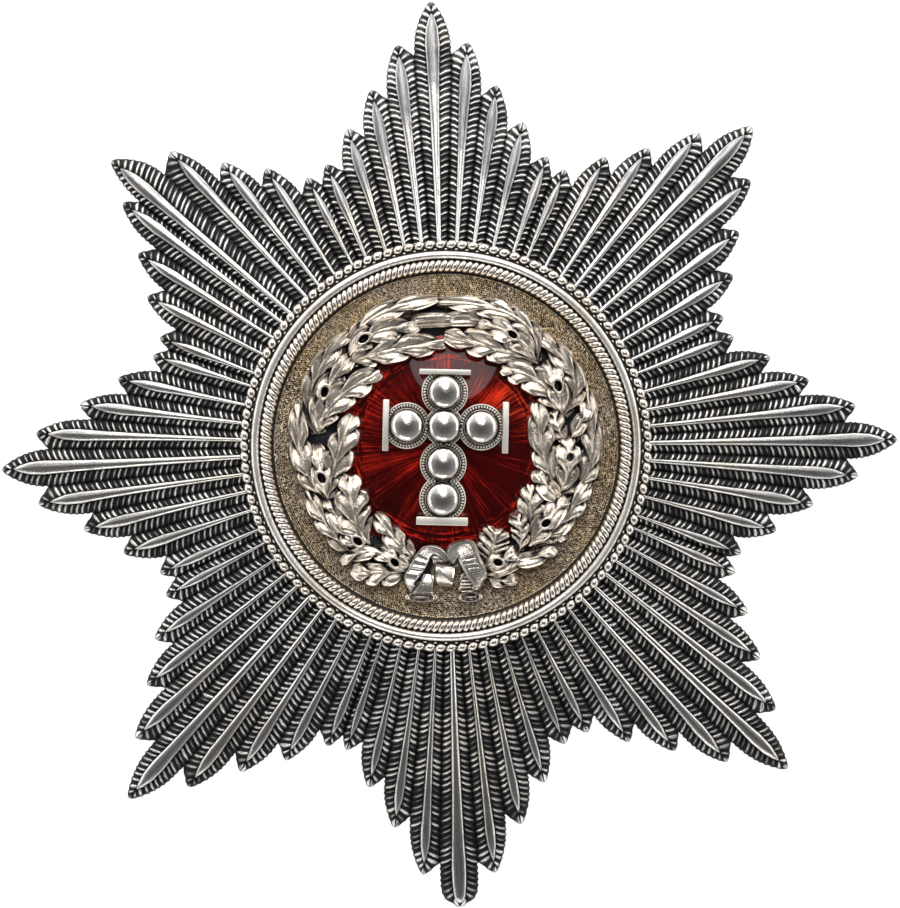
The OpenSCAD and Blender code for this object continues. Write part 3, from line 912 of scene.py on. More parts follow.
def red_enamel(c, centre):
    """Glossy red enamel over engraved rays."""
    f = Finish("red_enamel", Metallic=1.0, Coat_Weight=1.0, Coat_Roughness=0.03, Coat_IOR=1.4)
    mm = f.place()
    off = f.node("ShaderNodeVectorMath", {"operation": "SUBTRACT"},
                 {0: mm, 1: (centre[0] / MM, centre[1] / MM, 0)})
    x, y, _ = f.parts(off)
    # Engraved rays from the middle out, crossed by short waves in a border
    r = (x * x + y * y) ** 0.5
    way_x, way_y = x / r, y / r
    spokes = f.node("ShaderNodeCombineXYZ", None, {0: way_x * 9.0, 1: way_y * 9.0, 2: r * 0.05})
    lines = f.noise(spokes, 4.6, 5.0, 0.8)
    broad = f.noise(spokes, 0.55, 2.0, 0.5)
    wave = f.node("ShaderNodeCombineXYZ", None, {0: way_x * 3.4, 1: way_y * 3.4, 2: r * 2.4})
    chop = f.noise(wave, 1.4, 2.0, 0.6, 0.6)
    border = f.step(r, 7.9, 8.6)
    cut = lines + border * (chop - 0.5) * 1.3
    cloud = f.noise(mm, 0.22, 2.0, 0.5)
    # A painted patch of light makes the enamel brighter and more orange near one place at the upper right
    painted_light_patch = f.step(((x - 7.0) ** 2.0 + (y - 3.6) ** 2.0) ** 0.5, 4.6, 0.6)
    shine = f.step(cut + (broad - 0.5) * 0.4 + (cloud - 0.5) * 0.4 + painted_light_patch * 0.14, 0.48, 0.8)
    base = f.mix(shine, c.enamel, f.mix(painted_light_patch, c.enamel_lit, (1.0, 0.07, 0.02)))
    return f.wire(Base_Color=base, Roughness=0.34 + 0.1 * lines, Normal=f.bump(cut, 0.00025, 0.6))


def dome_height(m, r):
    """Height of the enamel's dome at a distance from the medallion's middle."""
    curve_r = (m.enamel_r ** 2 + m.dome ** 2) / (2 * m.dome)
    return float(m.seat + 1.95 * MM - curve_r + math.sqrt(curve_r * curve_r - r * r))


class BREASTSTAR_OT_medallion(bpy.types.Operator):
    """Lays the stippled gilt ground and the domed enamelled plate"""

    bl_idname = "breaststar.medallion"
    bl_label = "Ground and Enamel"

    def execute(self, context):
        m = context.scene.medallion_sizes
        c = context.scene.star_colours
        centre = (m.across, m.up)
        top = m.seat + 0.5 * MM
        ground = self.ground(m, centre, top)
        dress(ground, "ground_disc", stippled_gilding(c))

        base, rings = top + 0.05 * MM, 24
        profile = [(0.0, base), (m.enamel_r - 0.1 * MM, base), (m.enamel_r, base + 0.05 * MM)]
        for i in range(rings + 1):
            r = m.enamel_r * (1 - i / rings)
            profile.append((r, dome_height(m, r)))
        enamel = spin("enamel_plate", profile, 192, centre)
        mend(enamel, smooth=40)
        dress(enamel, "enamel_disc", red_enamel(c, centre))
        return {"FINISHED"}

    def ground(self, m, centre, top):
        """The ground, with every second point of its rings raised to a grain and the rest punched down."""
        inner, pitch, around = 12.2 * MM, 0.1 * MM, 900
        outer = m.ground_r - 0.1 * MM
        profile = [(m.ground_r, m.seat), (m.ground_r, top - 0.06 * MM)]
        profile += [(outer - i * pitch, top - 0.03 * MM) for i in range(int((outer - inner) / pitch))]
        profile += [(0.0, top - 0.05 * MM), (0.0, m.seat)]
        ground = spin("gilt_ground", profile, around, centre)
        points = points_of(ground)
        rng = np.random.default_rng(3)
        x, y = points[:, 0] - centre[0], points[:, 1] - centre[1]
        r = np.hypot(x, y)
        stippled = (points[:, 2] > top - 0.04 * MM) & (r > inner - pitch)
        row = np.rint((outer - r) / pitch).astype(int)
        column = np.rint(np.arctan2(y, x) / TAU * around).astype(int)
        grain = stippled & (row % 2 == 0) & ((column + row // 2) % 2 == 0)
        chance = rng.random(len(points))
        jitter = rng.normal(0, 0.036 * MM, (len(points), 2))
        height = np.where(grain, 0.04 * chance - 0.02, 0.04 * chance - 0.12) * MM
        points[stippled, 2] += height[stippled]
        points[stippled, :2] += jitter[stippled]
        move_points(ground, points)
        mark_points(ground, "wear", np.where(grain, 0.5 + 0.5 * chance, 0.35 * chance ** 2))
        select_only(ground)
        bpy.ops.object.shade_smooth()
        return ground


# Leaves of the wreath, in millimetres from the medallion's middle: name, foot, middle and tip of the midrib,
# half width on the inner and the outer side, lobes, height of foot, middle and tip
LEAVES = (
    ("left 1 inner", (-2.72, -11.18), (-4.57, -9.53), (-6.9, -6.61), 0.87, 0.78, 3.0, (6.7, 7.35, 7.1)),
    ("left 1 outer", (-4.08, -11.47), (-7.19, -10.21), (-10.21, -11.28), 0.49, 0.68, 2.5, (6.9, 7.45, 6.8)),
    ("left 1 low", (-3.69, -11.96), (-6.12, -12.25), (-9.04, -11.86), 0.68, 1.07, 3.0, (6.5, 7.0, 6.7)),
    ("left 1 core", (-2.92, -11.66), (-4.76, -11.08), (-6.61, -9.43), 0.68, 0.68, 2.0, (6.9, 7.5, 6.9)),
    ("left 2 inner", (-7.29, -9.53), (-8.85, -7.19), (-9.33, -2.92), 1.46, 1.26, 4.0, (6.9, 7.6, 7.5)),
    ("left 2 outer", (-8.94, -10.4), (-11.18, -8.16), (-13.51, -4.28), 0.68, 0.78, 3.5, (6.5, 7.0, 7.0)),
    ("left 2 core", (-7.97, -10.01), (-9.82, -7.97), (-11.47, -5.15), 0.87, 0.87, 2.5, (6.8, 7.3, 6.8)),
    ("left 3 inner", (-11.47, -5.15), (-10.69, -1.56), (-9.04, 2.92), 1.26, 1.07, 4.0, (6.8, 7.55, 7.6)),
    ("left 3 outer", (-11.57, -5.15), (-13.8, -1.56), (-14.39, 4.08), 0.87, 0.87, 3.5, (6.6, 7.3, 7.4)),
    ("left 3 core", (-11.57, -4.96), (-12.15, -2.53), (-12.54, 0.19), 0.78, 0.78, 2.0, (7.0, 7.7, 7.0)),
    ("left 4 inner", (-12.34, 1.17), (-10.69, 4.37), (-6.42, 7.1), 1.17, 1.07, 3.5, (6.8, 7.55, 7.5)),
    ("left 4 outer", (-12.54, 1.17), (-12.83, 6.03), (-9.23, 11.08), 0.78, 0.87, 4.0, (6.6, 7.2, 7.2)),
    ("left 4 core", (-12.34, 1.36), (-11.66, 5.05), (-9.04, 8.75), 0.87, 0.97, 3.0, (6.9, 7.5, 7.0)),
    ("left 5 inner", (-9.43, 7.97), (-5.83, 9.14), (-0.19, 9.91), 0.97, 1.07, 3.5, (6.8, 7.6, 7.7)),
    ("left 5 outer", (-9.43, 8.75), (-7.0, 12.44), (-0.87, 14.29), 0.87, 0.68, 3.0, (6.8, 7.3, 7.4)),
    ("left 5 core", (-9.33, 8.65), (-7.0, 10.89), (-2.53, 11.66), 0.97, 0.87, 2.5, (6.9, 7.7, 6.9)),
    ("top stem left", (-4.1, 11.8), (-1.75, 12.2), (1.1, 12.15), 0.6, 0.6, 0.5, (6.5, 6.9, 6.95)),
    ("right 1 fan", (4.28, -11.66), (4.57, -9.91), (4.96, -8.07), 1.26, 1.17, 5.0, (6.7, 7.2, 7.3)),
    ("right 1 curl", (7.1, -10.21), (7.29, -8.26), (6.61, -6.42), 0.78, 0.68, 4.0, (7.0, 7.8, 7.2)),
    ("right 1 outer", (6.03, -11.28), (8.26, -10.89), (10.69, -10.01), 0.58, 0.68, 1.5, (6.8, 7.4, 6.9)),
    ("right 1 strip", (3.79, -12.44), (5.83, -11.96), (7.87, -10.69), 0.39, 0.39, 1.0, (6.9, 7.4, 7.1)),
    ("right 1 low", (3.79, -12.64), (5.25, -13.02), (7.0, -12.73), 0.49, 0.58, 2.0, (6.5, 6.9, 6.6)),
    ("right 1 core", (3.6, -11.66), (5.15, -11.18), (7.1, -10.21), 0.87, 0.87, 1.5, (6.9, 7.5, 7.1)),
    ("right 2 point", (11.37, -5.44), (10.01, -4.08), (8.75, -2.33), 0.87, 0.68, 1.5, (6.9, 7.6, 7.3)),
    ("right 2 inner", (8.07, -9.72), (8.16, -7.19), (8.26, -3.79), 1.07, 1.17, 4.5, (6.7, 7.3, 7.2)),
    ("right 2 outer", (8.07, -9.53), (11.28, -7.29), (13.8, -3.21), 0.78, 0.87, 4.5, (6.6, 7.2, 7.1)),
    ("right 2 low", (8.16, -9.43), (10.01, -8.94), (11.66, -8.46), 0.39, 0.58, 2.0, (6.4, 6.8, 6.6)),
    ("right 2 core", (7.97, -9.72), (9.72, -7.48), (11.66, -4.96), 0.97, 0.87, 2.5, (7.0, 7.7, 7.1)),
    ("right 3 inner", (11.08, -4.57), (9.62, -1.36), (8.75, 4.18), 0.97, 1.17, 4.0, (6.8, 7.5, 7.5)),
    ("right 3 outer", (11.08, -4.57), (14.0, -1.56), (13.32, 6.42), 0.87, 0.78, 4.5, (6.6, 7.3, 7.3)),
    ("right 3 side", (12.34, 0.0), (13.61, 2.33), (14.09, 5.25), 0.58, 0.58, 2.5, (6.5, 7.0, 6.8)),
    ("right 3 core", (11.08, -4.47), (11.86, -1.75), (11.57, 0.97), 0.97, 0.97, 2.5, (7.0, 7.8, 7.1)),
    ("right 3 gap", (11.66, 0.4), (10.85, 1.75), (10.35, 3.6), 0.75, 0.7, 2.5, (6.9, 7.5, 7.1)),
    ("right 3 rise", (12.05, 0.8), (12.95, 2.1), (13.9, 3.8), 0.62, 0.6, 1.5, (7.0, 7.5, 7.3)),
    ("right 4 inner", (11.28, 2.82), (9.23, 6.03), (5.44, 7.58), 1.17, 1.07, 3.5, (6.8, 7.6, 7.5)),
    ("right 4 outer", (11.28, 2.92), (12.34, 6.61), (8.75, 10.98), 0.87, 0.87, 4.0, (6.7, 7.3, 7.3)),
    ("right 4 core", (11.18, 2.92), (10.79, 5.83), (9.82, 8.36), 0.87, 0.78, 2.0, (6.9, 7.6, 7.0)),
    ("right 5 inner", (8.94, 7.97), (5.25, 9.33), (-0.1, 10.69), 1.07, 1.07, 4.0, (6.8, 7.6, 7.6)),
    ("right 5 outer", (8.85, 8.16), (6.8, 12.44), (-0.68, 14.0), 0.87, 0.78, 4.5, (6.8, 7.4, 7.3)),
    ("right 5 core", (8.75, 8.36), (6.42, 10.79), (2.92, 11.96), 0.97, 0.87, 2.5, (7.0, 7.8, 7.0)),
    ("top stem right", (4.3, 12.0), (2.2, 12.35), (-0.6, 12.15), 0.6, 0.6, 0.5, (6.5, 6.95, 6.9)),
)
# Drilled eyes, in millimetres as well: name, place, half length, half width, turn in degrees, depth
EYES = (
    ("left 1", (-4.96, -11.28), 0.51, 0.33, -45, 1.1),
    ("left 2", (-8.55, -9.23), 0.54, 0.35, -40, 1.1),
    ("left 3", (-12.05, -3.11), 0.58, 0.37, -60, 1.1),
    ("left 4", (-11.76, 5.25), 0.58, 0.37, 75, 1.1),
    ("left 5", (-7.97, 10.4), 0.60, 0.35, 35, 1.1),
    ("right 1", (5.05, -11.28), 0.49, 0.35, -15, 1.1),
    ("right 2", (9.72, -7.48), 0.53, 0.35, 35, 1.1),
    ("right 3", (12.05, -1.1), 0.45, 0.35, 70, 0.25),
    ("right 4", (10.89, 5.83), 0.58, 0.37, -75, 1.1),
    ("right 5", (6.46, 10.79), 0.54, 0.31, -35, 1.1),
)
# Bands of the bow, each as rows across it: left edge, right edge, height. Then how many pressed lines it has,
# and the shares of its length where they begin and stop
BANDS = (
    ("left loop", (((0.3, -11.1), (-0.15, -11.3), 6.8), ((-0.2, -10.15), (-0.6, -10.75), 7.1),
                   ((-1.2, -9.7), (-1.15, -10.45), 7.4), ((-2.5, -10.0), (-1.5, -10.75), 7.6),
                   ((-3.5, -11.6), (-1.95, -11.8), 7.7),
                   ((-4.05, -12.65), (-2.8, -12.95), 7.5), ((-3.75, -13.5), (-3.1, -13.35), 7.1),
                   ((-3.2, -14.15), (-2.9, -13.7), 6.7)), 4, 0.46, 0.7),
    ("left lining", (((-1.5, -10.3), (-0.3, -10.4), 6.75), ((-1.4, -10.9), (-0.1, -11.0), 6.9),
                     ((-1.2, -11.5), (0.0, -11.4), 6.6)), 0),
    ("left tail", (((-2.0, -12.4), (-1.35, -12.5), 6.75), ((-2.5, -13.2), (-1.2, -13.3), 6.95),
                   ((-3.15, -14.1), (-1.2, -14.15), 6.9), ((-3.3, -14.4), (-1.1, -14.45), 6.6)), 0),
    ("left end", (((-3.0, -14.4), (-1.8, -14.4), 6.3), ((-3.2, -14.55), (-1.6, -14.55), 6.5),
                  ((-3.2, -14.75), (-1.6, -14.75), 6.5), ((-3.0, -14.9), (-1.8, -14.9), 6.3)), 0),
    ("right loop", (((0.15, -10.7), (0.7, -11.3), 6.8), ((0.5, -9.8), (1.2, -10.6), 7.15),
                    ((1.5, -9.35), (1.4, -10.25), 7.45), ((2.6, -9.5), (1.35, -10.35), 7.65),
                    ((3.1, -10.9), (1.6, -11.2), 7.75),
                    ((3.7, -12.2), (2.2, -12.4), 7.6), ((3.4, -13.1), (2.9, -13.4), 7.2),
                    ((3.0, -13.8), (2.6, -13.7), 6.75)), 4, 0.53, 0.72),
    ("right lining", (((0.3, -10.0), (1.4, -10.1), 6.75), ((0.2, -10.8), (1.3, -10.9), 6.7),
                      ((0.3, -11.6), (1.2, -11.7), 6.6)), 0),
    ("right tail", (((1.7, -12.3), (2.4, -12.5), 6.75), ((1.35, -13.1), (2.8, -13.1), 6.95),
                    ((1.15, -13.8), (3.05, -13.7), 6.9), ((1.2, -14.1), (3.0, -14.0), 6.6)), 5, 0.15, 0.95),
    ("right end", (((1.95, -14.45), (2.8, -14.4), 6.3), ((1.8, -14.58), (2.95, -14.53), 6.5),
                   ((1.8, -14.76), (2.95, -14.71), 6.5), ((1.95, -14.9), (2.8, -14.85), 6.3)), 0),
    ("knot", (((-1.0, -11.4), (0.85, -11.35), 6.7), ((-1.05, -11.75), (0.95, -11.7), 7.35),
              ((-1.1, -12.4), (0.9, -12.35), 7.6), ((-0.95, -13.1), (0.75, -13.2), 7.4),
              ((-0.7, -13.6), (0.55, -13.65), 6.8)), 0),
)
# Lines of a leaf's mesh, from its midrib (0) to its edge (1)
SPREAD = (0.0, 0.05, 0.11, 0.19, 0.3, 0.43, 0.56, 0.68, 0.78, 0.86, 0.92, 0.965, 1.0)
# Height of the gilt ground, on which the wreath lies, in millimetres
GROUND_TOP = 6.0
# Rolled ends of the bow: place, half length, half width in millimetres, turn in degrees
ROLLS = (((-2.39, -14.66), 1.38, 0.44, 0), ((2.37, -14.65), 1.02, 0.44, 3))


def grid(across, along):
    """A grid to be shaped, with its own places across (-1 to 1) and along (0 to 1)."""
    bpy.ops.mesh.primitive_grid_add(x_subdivisions=along, y_subdivisions=across, size=2)
    piece = bpy.context.active_object
    flat = points_of(piece)
    return piece, (flat[:, 0] + 1) / 2, flat[:, 1]


def bell(x, middle, width):
    """A soft hump of height 1."""
    return np.exp(-((x - middle) / width) ** 2)


def leaf(foot, middle, tip, inner, outer, lobes, heights, rng):
    """An oak leaf on a bent midrib, with lobes, veins and a raised edge, and how each point stands out."""
    piece, u, v = grid(24, 56)
    side = np.interp(np.abs(v), np.linspace(0, 1, len(SPREAD)), SPREAD)
    foot, middle, tip = (np.array([*p, z]) for p, z in zip((foot, middle, tip), heights))
    # The bent midrib, the way along it and the way across it
    bend = 2 * middle - (foot + tip) / 2
    spine = ((1 - u) ** 2)[:, None] * foot + (2 * u * (1 - u))[:, None] * bend + (u ** 2)[:, None] * tip
    way = (2 * (1 - u))[:, None] * (bend - foot) + (2 * u)[:, None] * (tip - bend)
    way /= np.linalg.norm(way[:, :2], axis=1)[:, None]
    across = np.column_stack([-way[:, 1], way[:, 0], 0 * u])
    if across[len(u) // 2, :2] @ middle[:2] > 0:
        inner, outer = outer, inner
    half = np.where(v > 0, inner, outer) * 1.28
    # The lobes and the notches between them, narrower at the foot and towards the tip
    phase = rng.uniform(0.0, 0.3, 2)
    sway = 0.035 * np.sin(TAU * (1.7 * u + rng.random())) * np.sign(v)
    wave = np.abs(np.sin(math.pi * (lobes * (u + sway - 0.13 * side) + np.where(v > 0, phase[0], phase[1]))))
    notch = (1 - wave) ** 2.2
    toward_tip = np.clip(1 - (np.clip(u - 0.5, 0, 1) / 0.52) ** 2.6, 0.02, 1) ** 0.55
    envelope = (0.42 + 0.58 * soft(u, 0, 0.3)) * toward_tip
    width = half * envelope * (1.04 - 0.44 * notch)
    y = width * np.sign(v) * side
    # The relief: midrib, raised edge and veins, and then the leaf's own ruffle, roll and lean
    rib, beside = bell(y, 0, 0.075), bell(np.abs(y), 0.21, 0.09)
    edge, inside = bell(side, 0.9, 0.055), bell(side, 0.74, 0.09)
    vein = wave ** 18 * soft(side, 0.05, 0.2) * (1 - soft(side, 0.7, 0.85))
    relief = 0.08 * rib - 0.04 * beside + 0.11 * edge - 0.04 * inside + 0.05 * vein
    relief -= 0.3 * notch * side ** 0.8
    relief += 0.13 * wave * np.sin(math.pi * side) + 0.12 * wave * side ** 3
    ruffle = 0.16 * np.sin(math.pi * (lobes * 1.1 * u + 2 * rng.random())) * side ** 1.5
    roll = 0.1 * np.sin(TAU * (1.4 * u + rng.random()))
    body = 0.2 * (1 - side ** 2) + rng.uniform(-0.05, 0.25) * side ** 3 - 0.3 * soft(side, 0.93, 1.0)
    lean = rng.uniform(-0.22, 0.22) * v
    end = -0.3 * soft(u, 0.86, 1.0) + rng.uniform(-0.05, 0.2) * soft(u, 0.55, 0.85)
    points = spine + way * (0.4 * width * side)[:, None] + across * y[:, None]
    points[:, 2] += (relief + ruffle + roll + body) * np.minimum(1, envelope + 0.2) + lean + end
    move_points(piece, points * MM)
    # Raised ribs, veins and edges are marked bright as wear and painted highlight, notches and hollows dark
    # as painted shade
    line = rib + edge + 0.6 * vein - 0.6 * beside - 0.4 * inside - 1.8 * notch * side ** 0.8
    return piece, np.clip(line, -1, 1)


def wall_down(piece, low):
    """Draws a sheet's border down to given heights, closes it and returns how many points that adds."""
    count = len(piece.data.vertices)
    select_only(piece)
    bpy.ops.object.mode_set(mode="EDIT")
    bpy.ops.mesh.select_mode(type="EDGE")
    bpy.ops.mesh.select_all(action="DESELECT")
    bpy.ops.mesh.select_non_manifold(extend=False, use_wire=False, use_boundary=True,
                                     use_multi_face=False, use_non_contiguous=False, use_verts=False)
    bpy.ops.mesh.extrude_edges_move()
    bpy.ops.mesh.edge_face_add()
    bpy.ops.mesh.select_mode(type="VERT")
    bpy.ops.object.mode_set(mode="OBJECT")
    points = points_of(piece)
    points[count:, 2] = low(points[count:])
    move_points(piece, points)
    return len(points) - count


def drill(points):
    """Sinks the drilled eyes into a cloud of points, in millimetres."""
    for _, (x, y), long, wide, turn, depth in EYES:
        dx, dy = points[:, 0] - x, points[:, 1] - y
        c, s = math.cos(math.radians(turn)), math.sin(math.radians(turn))
        d = np.hypot((c * dx + s * dy) / long, (c * dy - s * dx) / wide)
        points[:, 2] -= depth * (1 - soft(d, 0.55, 1.0))
        points[:, 2] += 0.12 * np.exp(-((d - 1.35) / 0.3) ** 2)
    points[:, 2] = np.maximum(points[:, 2], GROUND_TOP + 0.08)
    return points


def through(rows, u):
    """Values on a smooth line through evenly spaced rows."""
    rows = np.asarray(rows, float)
    rows = np.vstack([2 * rows[0] - rows[1], rows, 2 * rows[-1] - rows[-2]])
    place = np.clip(u, 0, 0.99999) * (len(rows) - 3)
    k = place.astype(int)
    t = (place - k)[:, None]
    a, b, c, d = rows[k], rows[k + 1], rows[k + 2], rows[k + 3]
    square, cube = (2 * a - 5 * b + 4 * c - d) * t ** 2, (3 * b - a - 3 * c + d) * t ** 3
    return 0.5 * (2 * b + (c - a) * t + square + cube)


class BREASTSTAR_OT_wreath(bpy.types.Operator):
    """Casts the two oak branches and the ribbon bow"""

    bl_idname = "breaststar.wreath"
    bl_label = "Oak Wreath"

    def execute(self, context):
        m = context.scene.medallion_sizes
        c = context.scene.star_colours
        silver = worn_silver(c, "wreath_silver", (0.9, 0.79, 0.67), dark=(0.28, 0.6), rough=0.22, cold=0.15,
                             grain=4.0, shade=0.6, cast=0.5, rugged=0.00006)
        ribbon = worn_silver(c, "ribbon_silver", (0.96, 0.91, 0.85), dark=(0.32, 0.68), rough=0.18, cold=0.4,
                             grain=4.0, shade=0.45, cast=0.3, metal=0.95)
        rng = np.random.default_rng(21)

        def under(places):
            """Height just above the enamel or the ground at each place."""
            out = np.hypot(places[:, 0], places[:, 1])
            flat = m.seat + 0.57 * MM
            return [dome_height(m, r) + 0.04 * MM if r < m.enamel_r else flat for r in out]

        branches = []
        for side in ("left", "right"):
            pieces = [self.core(side)]
            for name, *row in LEAVES:
                if side in name:
                    piece, line = leaf(*row, rng)
                    points = points_of(piece) / MM
                    move_points(piece, drill(points) * MM)
                    below = wall_down(piece, under)
                    # The walls drawn down under the leaf are marked dark, painted shade beneath its edge
                    mark_points(piece, "line", np.append(line, np.full(below, -1.0)))
                    bpy.ops.object.shade_smooth_by_angle(angle=math.radians(75))
                    pieces.append(piece)
            pieces += [self.eye(pieces, *row[1:5]) for row in EYES if side in row[0]]
            branches.append(join(pieces, "wreath_" + side))
        bow = join([self.band(*row) for row in BANDS] + [self.roll(*row) for row in ROLLS], "wreath_bow")
        wreath = (*branches, bow)
        for piece in wreath:
            piece.data.transform(Matrix.Translation((m.across, m.up, 0)))
        for piece in wreath:
            mark_openness(piece, 1.1 * MM, 12, [other for other in wreath if other is not piece])
            dress(piece, "oak_wreath", ribbon if piece is bow else silver)
        return {"FINISHED"}

    def core(self, side):
        """The lumpy stem that the leaves of a branch lie on."""
        middle_r, low = 12.0, GROUND_TOP + 0.07
        turn = np.linspace(math.radians(90.5), math.radians(263), 120)
        if side == "right":
            turn = math.pi - turn
        around = np.linspace(0, math.pi, 9)
        rings = []
        for t in turn:
            wide = 1.35 + 0.25 * math.sin(9 * t) + 0.15 * math.sin(23 * t)
            tall = 0.3 + 0.08 * math.sin(17 * t) + 0.06 * math.sin(31 * t)
            r = middle_r + wide * np.cos(around)
            z = low + tall * np.sin(around)
            rings.append(np.stack([r * math.cos(t), r * math.sin(t), z], 1))
        rings = np.array(rings)
        piece = add_mesh("core", rings.reshape(-1, 3) * MM, tube_faces(*rings.shape[:2]))
        mend(piece, smooth=60)
        # The stem is marked darkest, painted shade in the gaps between the leaves above it
        mark_points(piece, "line", -2.2)
        return piece

    def eye(self, pieces, place, long, wide, turn):
        """The raised collar of a drilled eye, laid on the leaf below it."""
        x, y = place
        points = np.concatenate([points_of(piece) for piece in pieces]) / MM
        near = points[np.hypot(points[:, 0] - x, points[:, 1] - y) < 1.25 * long, 2].max()
        return oval_ring((x, y, near - 0.08), (1.2 * long, 1.25 * wide, 0.55), turn, 0.24, 30, 9)

    def band(self, name, rows, creases, begin=0.0, stop=1.0):
        """A band of ribbon from its edges, a little dished, with raised hems and pressed lines."""
        piece, u, v = grid(20, 80)
        left = through([(*a, z) for a, b, z in rows], u)
        right = through([(*b, z) for a, b, z in rows], u)
        share = ((v + 1) / 2)[:, None]
        points = left * (1 - share) + right * share
        # The hems along both edges, and the lines pressed across the band
        hem = bell(np.abs(v), 0.88, 0.08)
        beat = np.cos(TAU * creases * (u - begin) / (stop - begin))
        pressed = soft(u, begin, begin + 0.02) * (1 - soft(u, stop - 0.02, stop)) if creases else 0 * u
        pressed = pressed * (1 - soft(np.abs(v), 0.7, 0.85))
        lines, hollows = pressed * np.clip(beat, 0, 1) ** 2, pressed * np.clip(-beat, 0, 1)
        points[:, 2] += 0.06 * hem - 0.12 * soft(np.abs(v), 0.92, 1.0) + 0.07 * lines - 0.05 * hollows
        if name == "knot":
            # A fold slants through the knot's middle
            fold = np.abs((points[:, 0] + 0.1) * 0.82 + (points[:, 1] + 12.5) * 0.57)
            points[:, 2] += 0.15 - 0.42 * fold
        move_points(piece, points * MM)
        # Hems and pressed lines are marked bright as wear and painted highlight, the hollows between them
        # dark as painted shade
        mark_points(piece, "line", np.clip(1.2 * hem + 1.4 * lines - 1.4 * hollows, -1.5, 1.5))
        apply_modifier(piece, "SOLIDIFY", thickness=0.3 * MM, offset=-1.0)
        mend(piece, smooth=50)
        return piece

    def roll(self, place, long, wide, turn):
        """The rolled end of a ribbon, seen on edge."""
        piece = oval_ring((*place, GROUND_TOP + 0.6), (long, wide, 2.0), turn, 0.2, 48, 10)
        # Marked bright all over, a painted highlight that keeps patina and painted shade off the rolled end
        mark_points(piece, "line", 2.0)
        return piece


def polished_silver():
    """Mirror-polished silver with faint smears and pits, darkened at the foot by tarnish and painted shade.
    """
    f = Finish("stud_silver", Metallic=1.0)
    mm = f.place()
    smear = f.noise(mm, 1.1, 3.0, 0.6)
    pits = f.noise(mm, 7.0, 2.0, 0.6)
    dirt = f.step(pits, 0.66, 0.74)
    wear = f.mark("wear")
    tint = f.mix(f.step(smear, 0.4, 0.7), (0.94, 0.905, 0.855), (0.8, 0.74, 0.67))
    # Tarnish and painted shade: darker towards the foot, where the stud sinks into its setting
    tint = f.mix(wear, (0.2, 0.175, 0.145), tint)
    tint = f.mix(dirt * 0.6, tint, (0.2, 0.19, 0.17))
    return f.wire(Base_Color=tint, Roughness=0.14 + 0.16 * smear - 0.02 * wear,
                  Normal=f.bump(smear, 0.0002, 0.15))


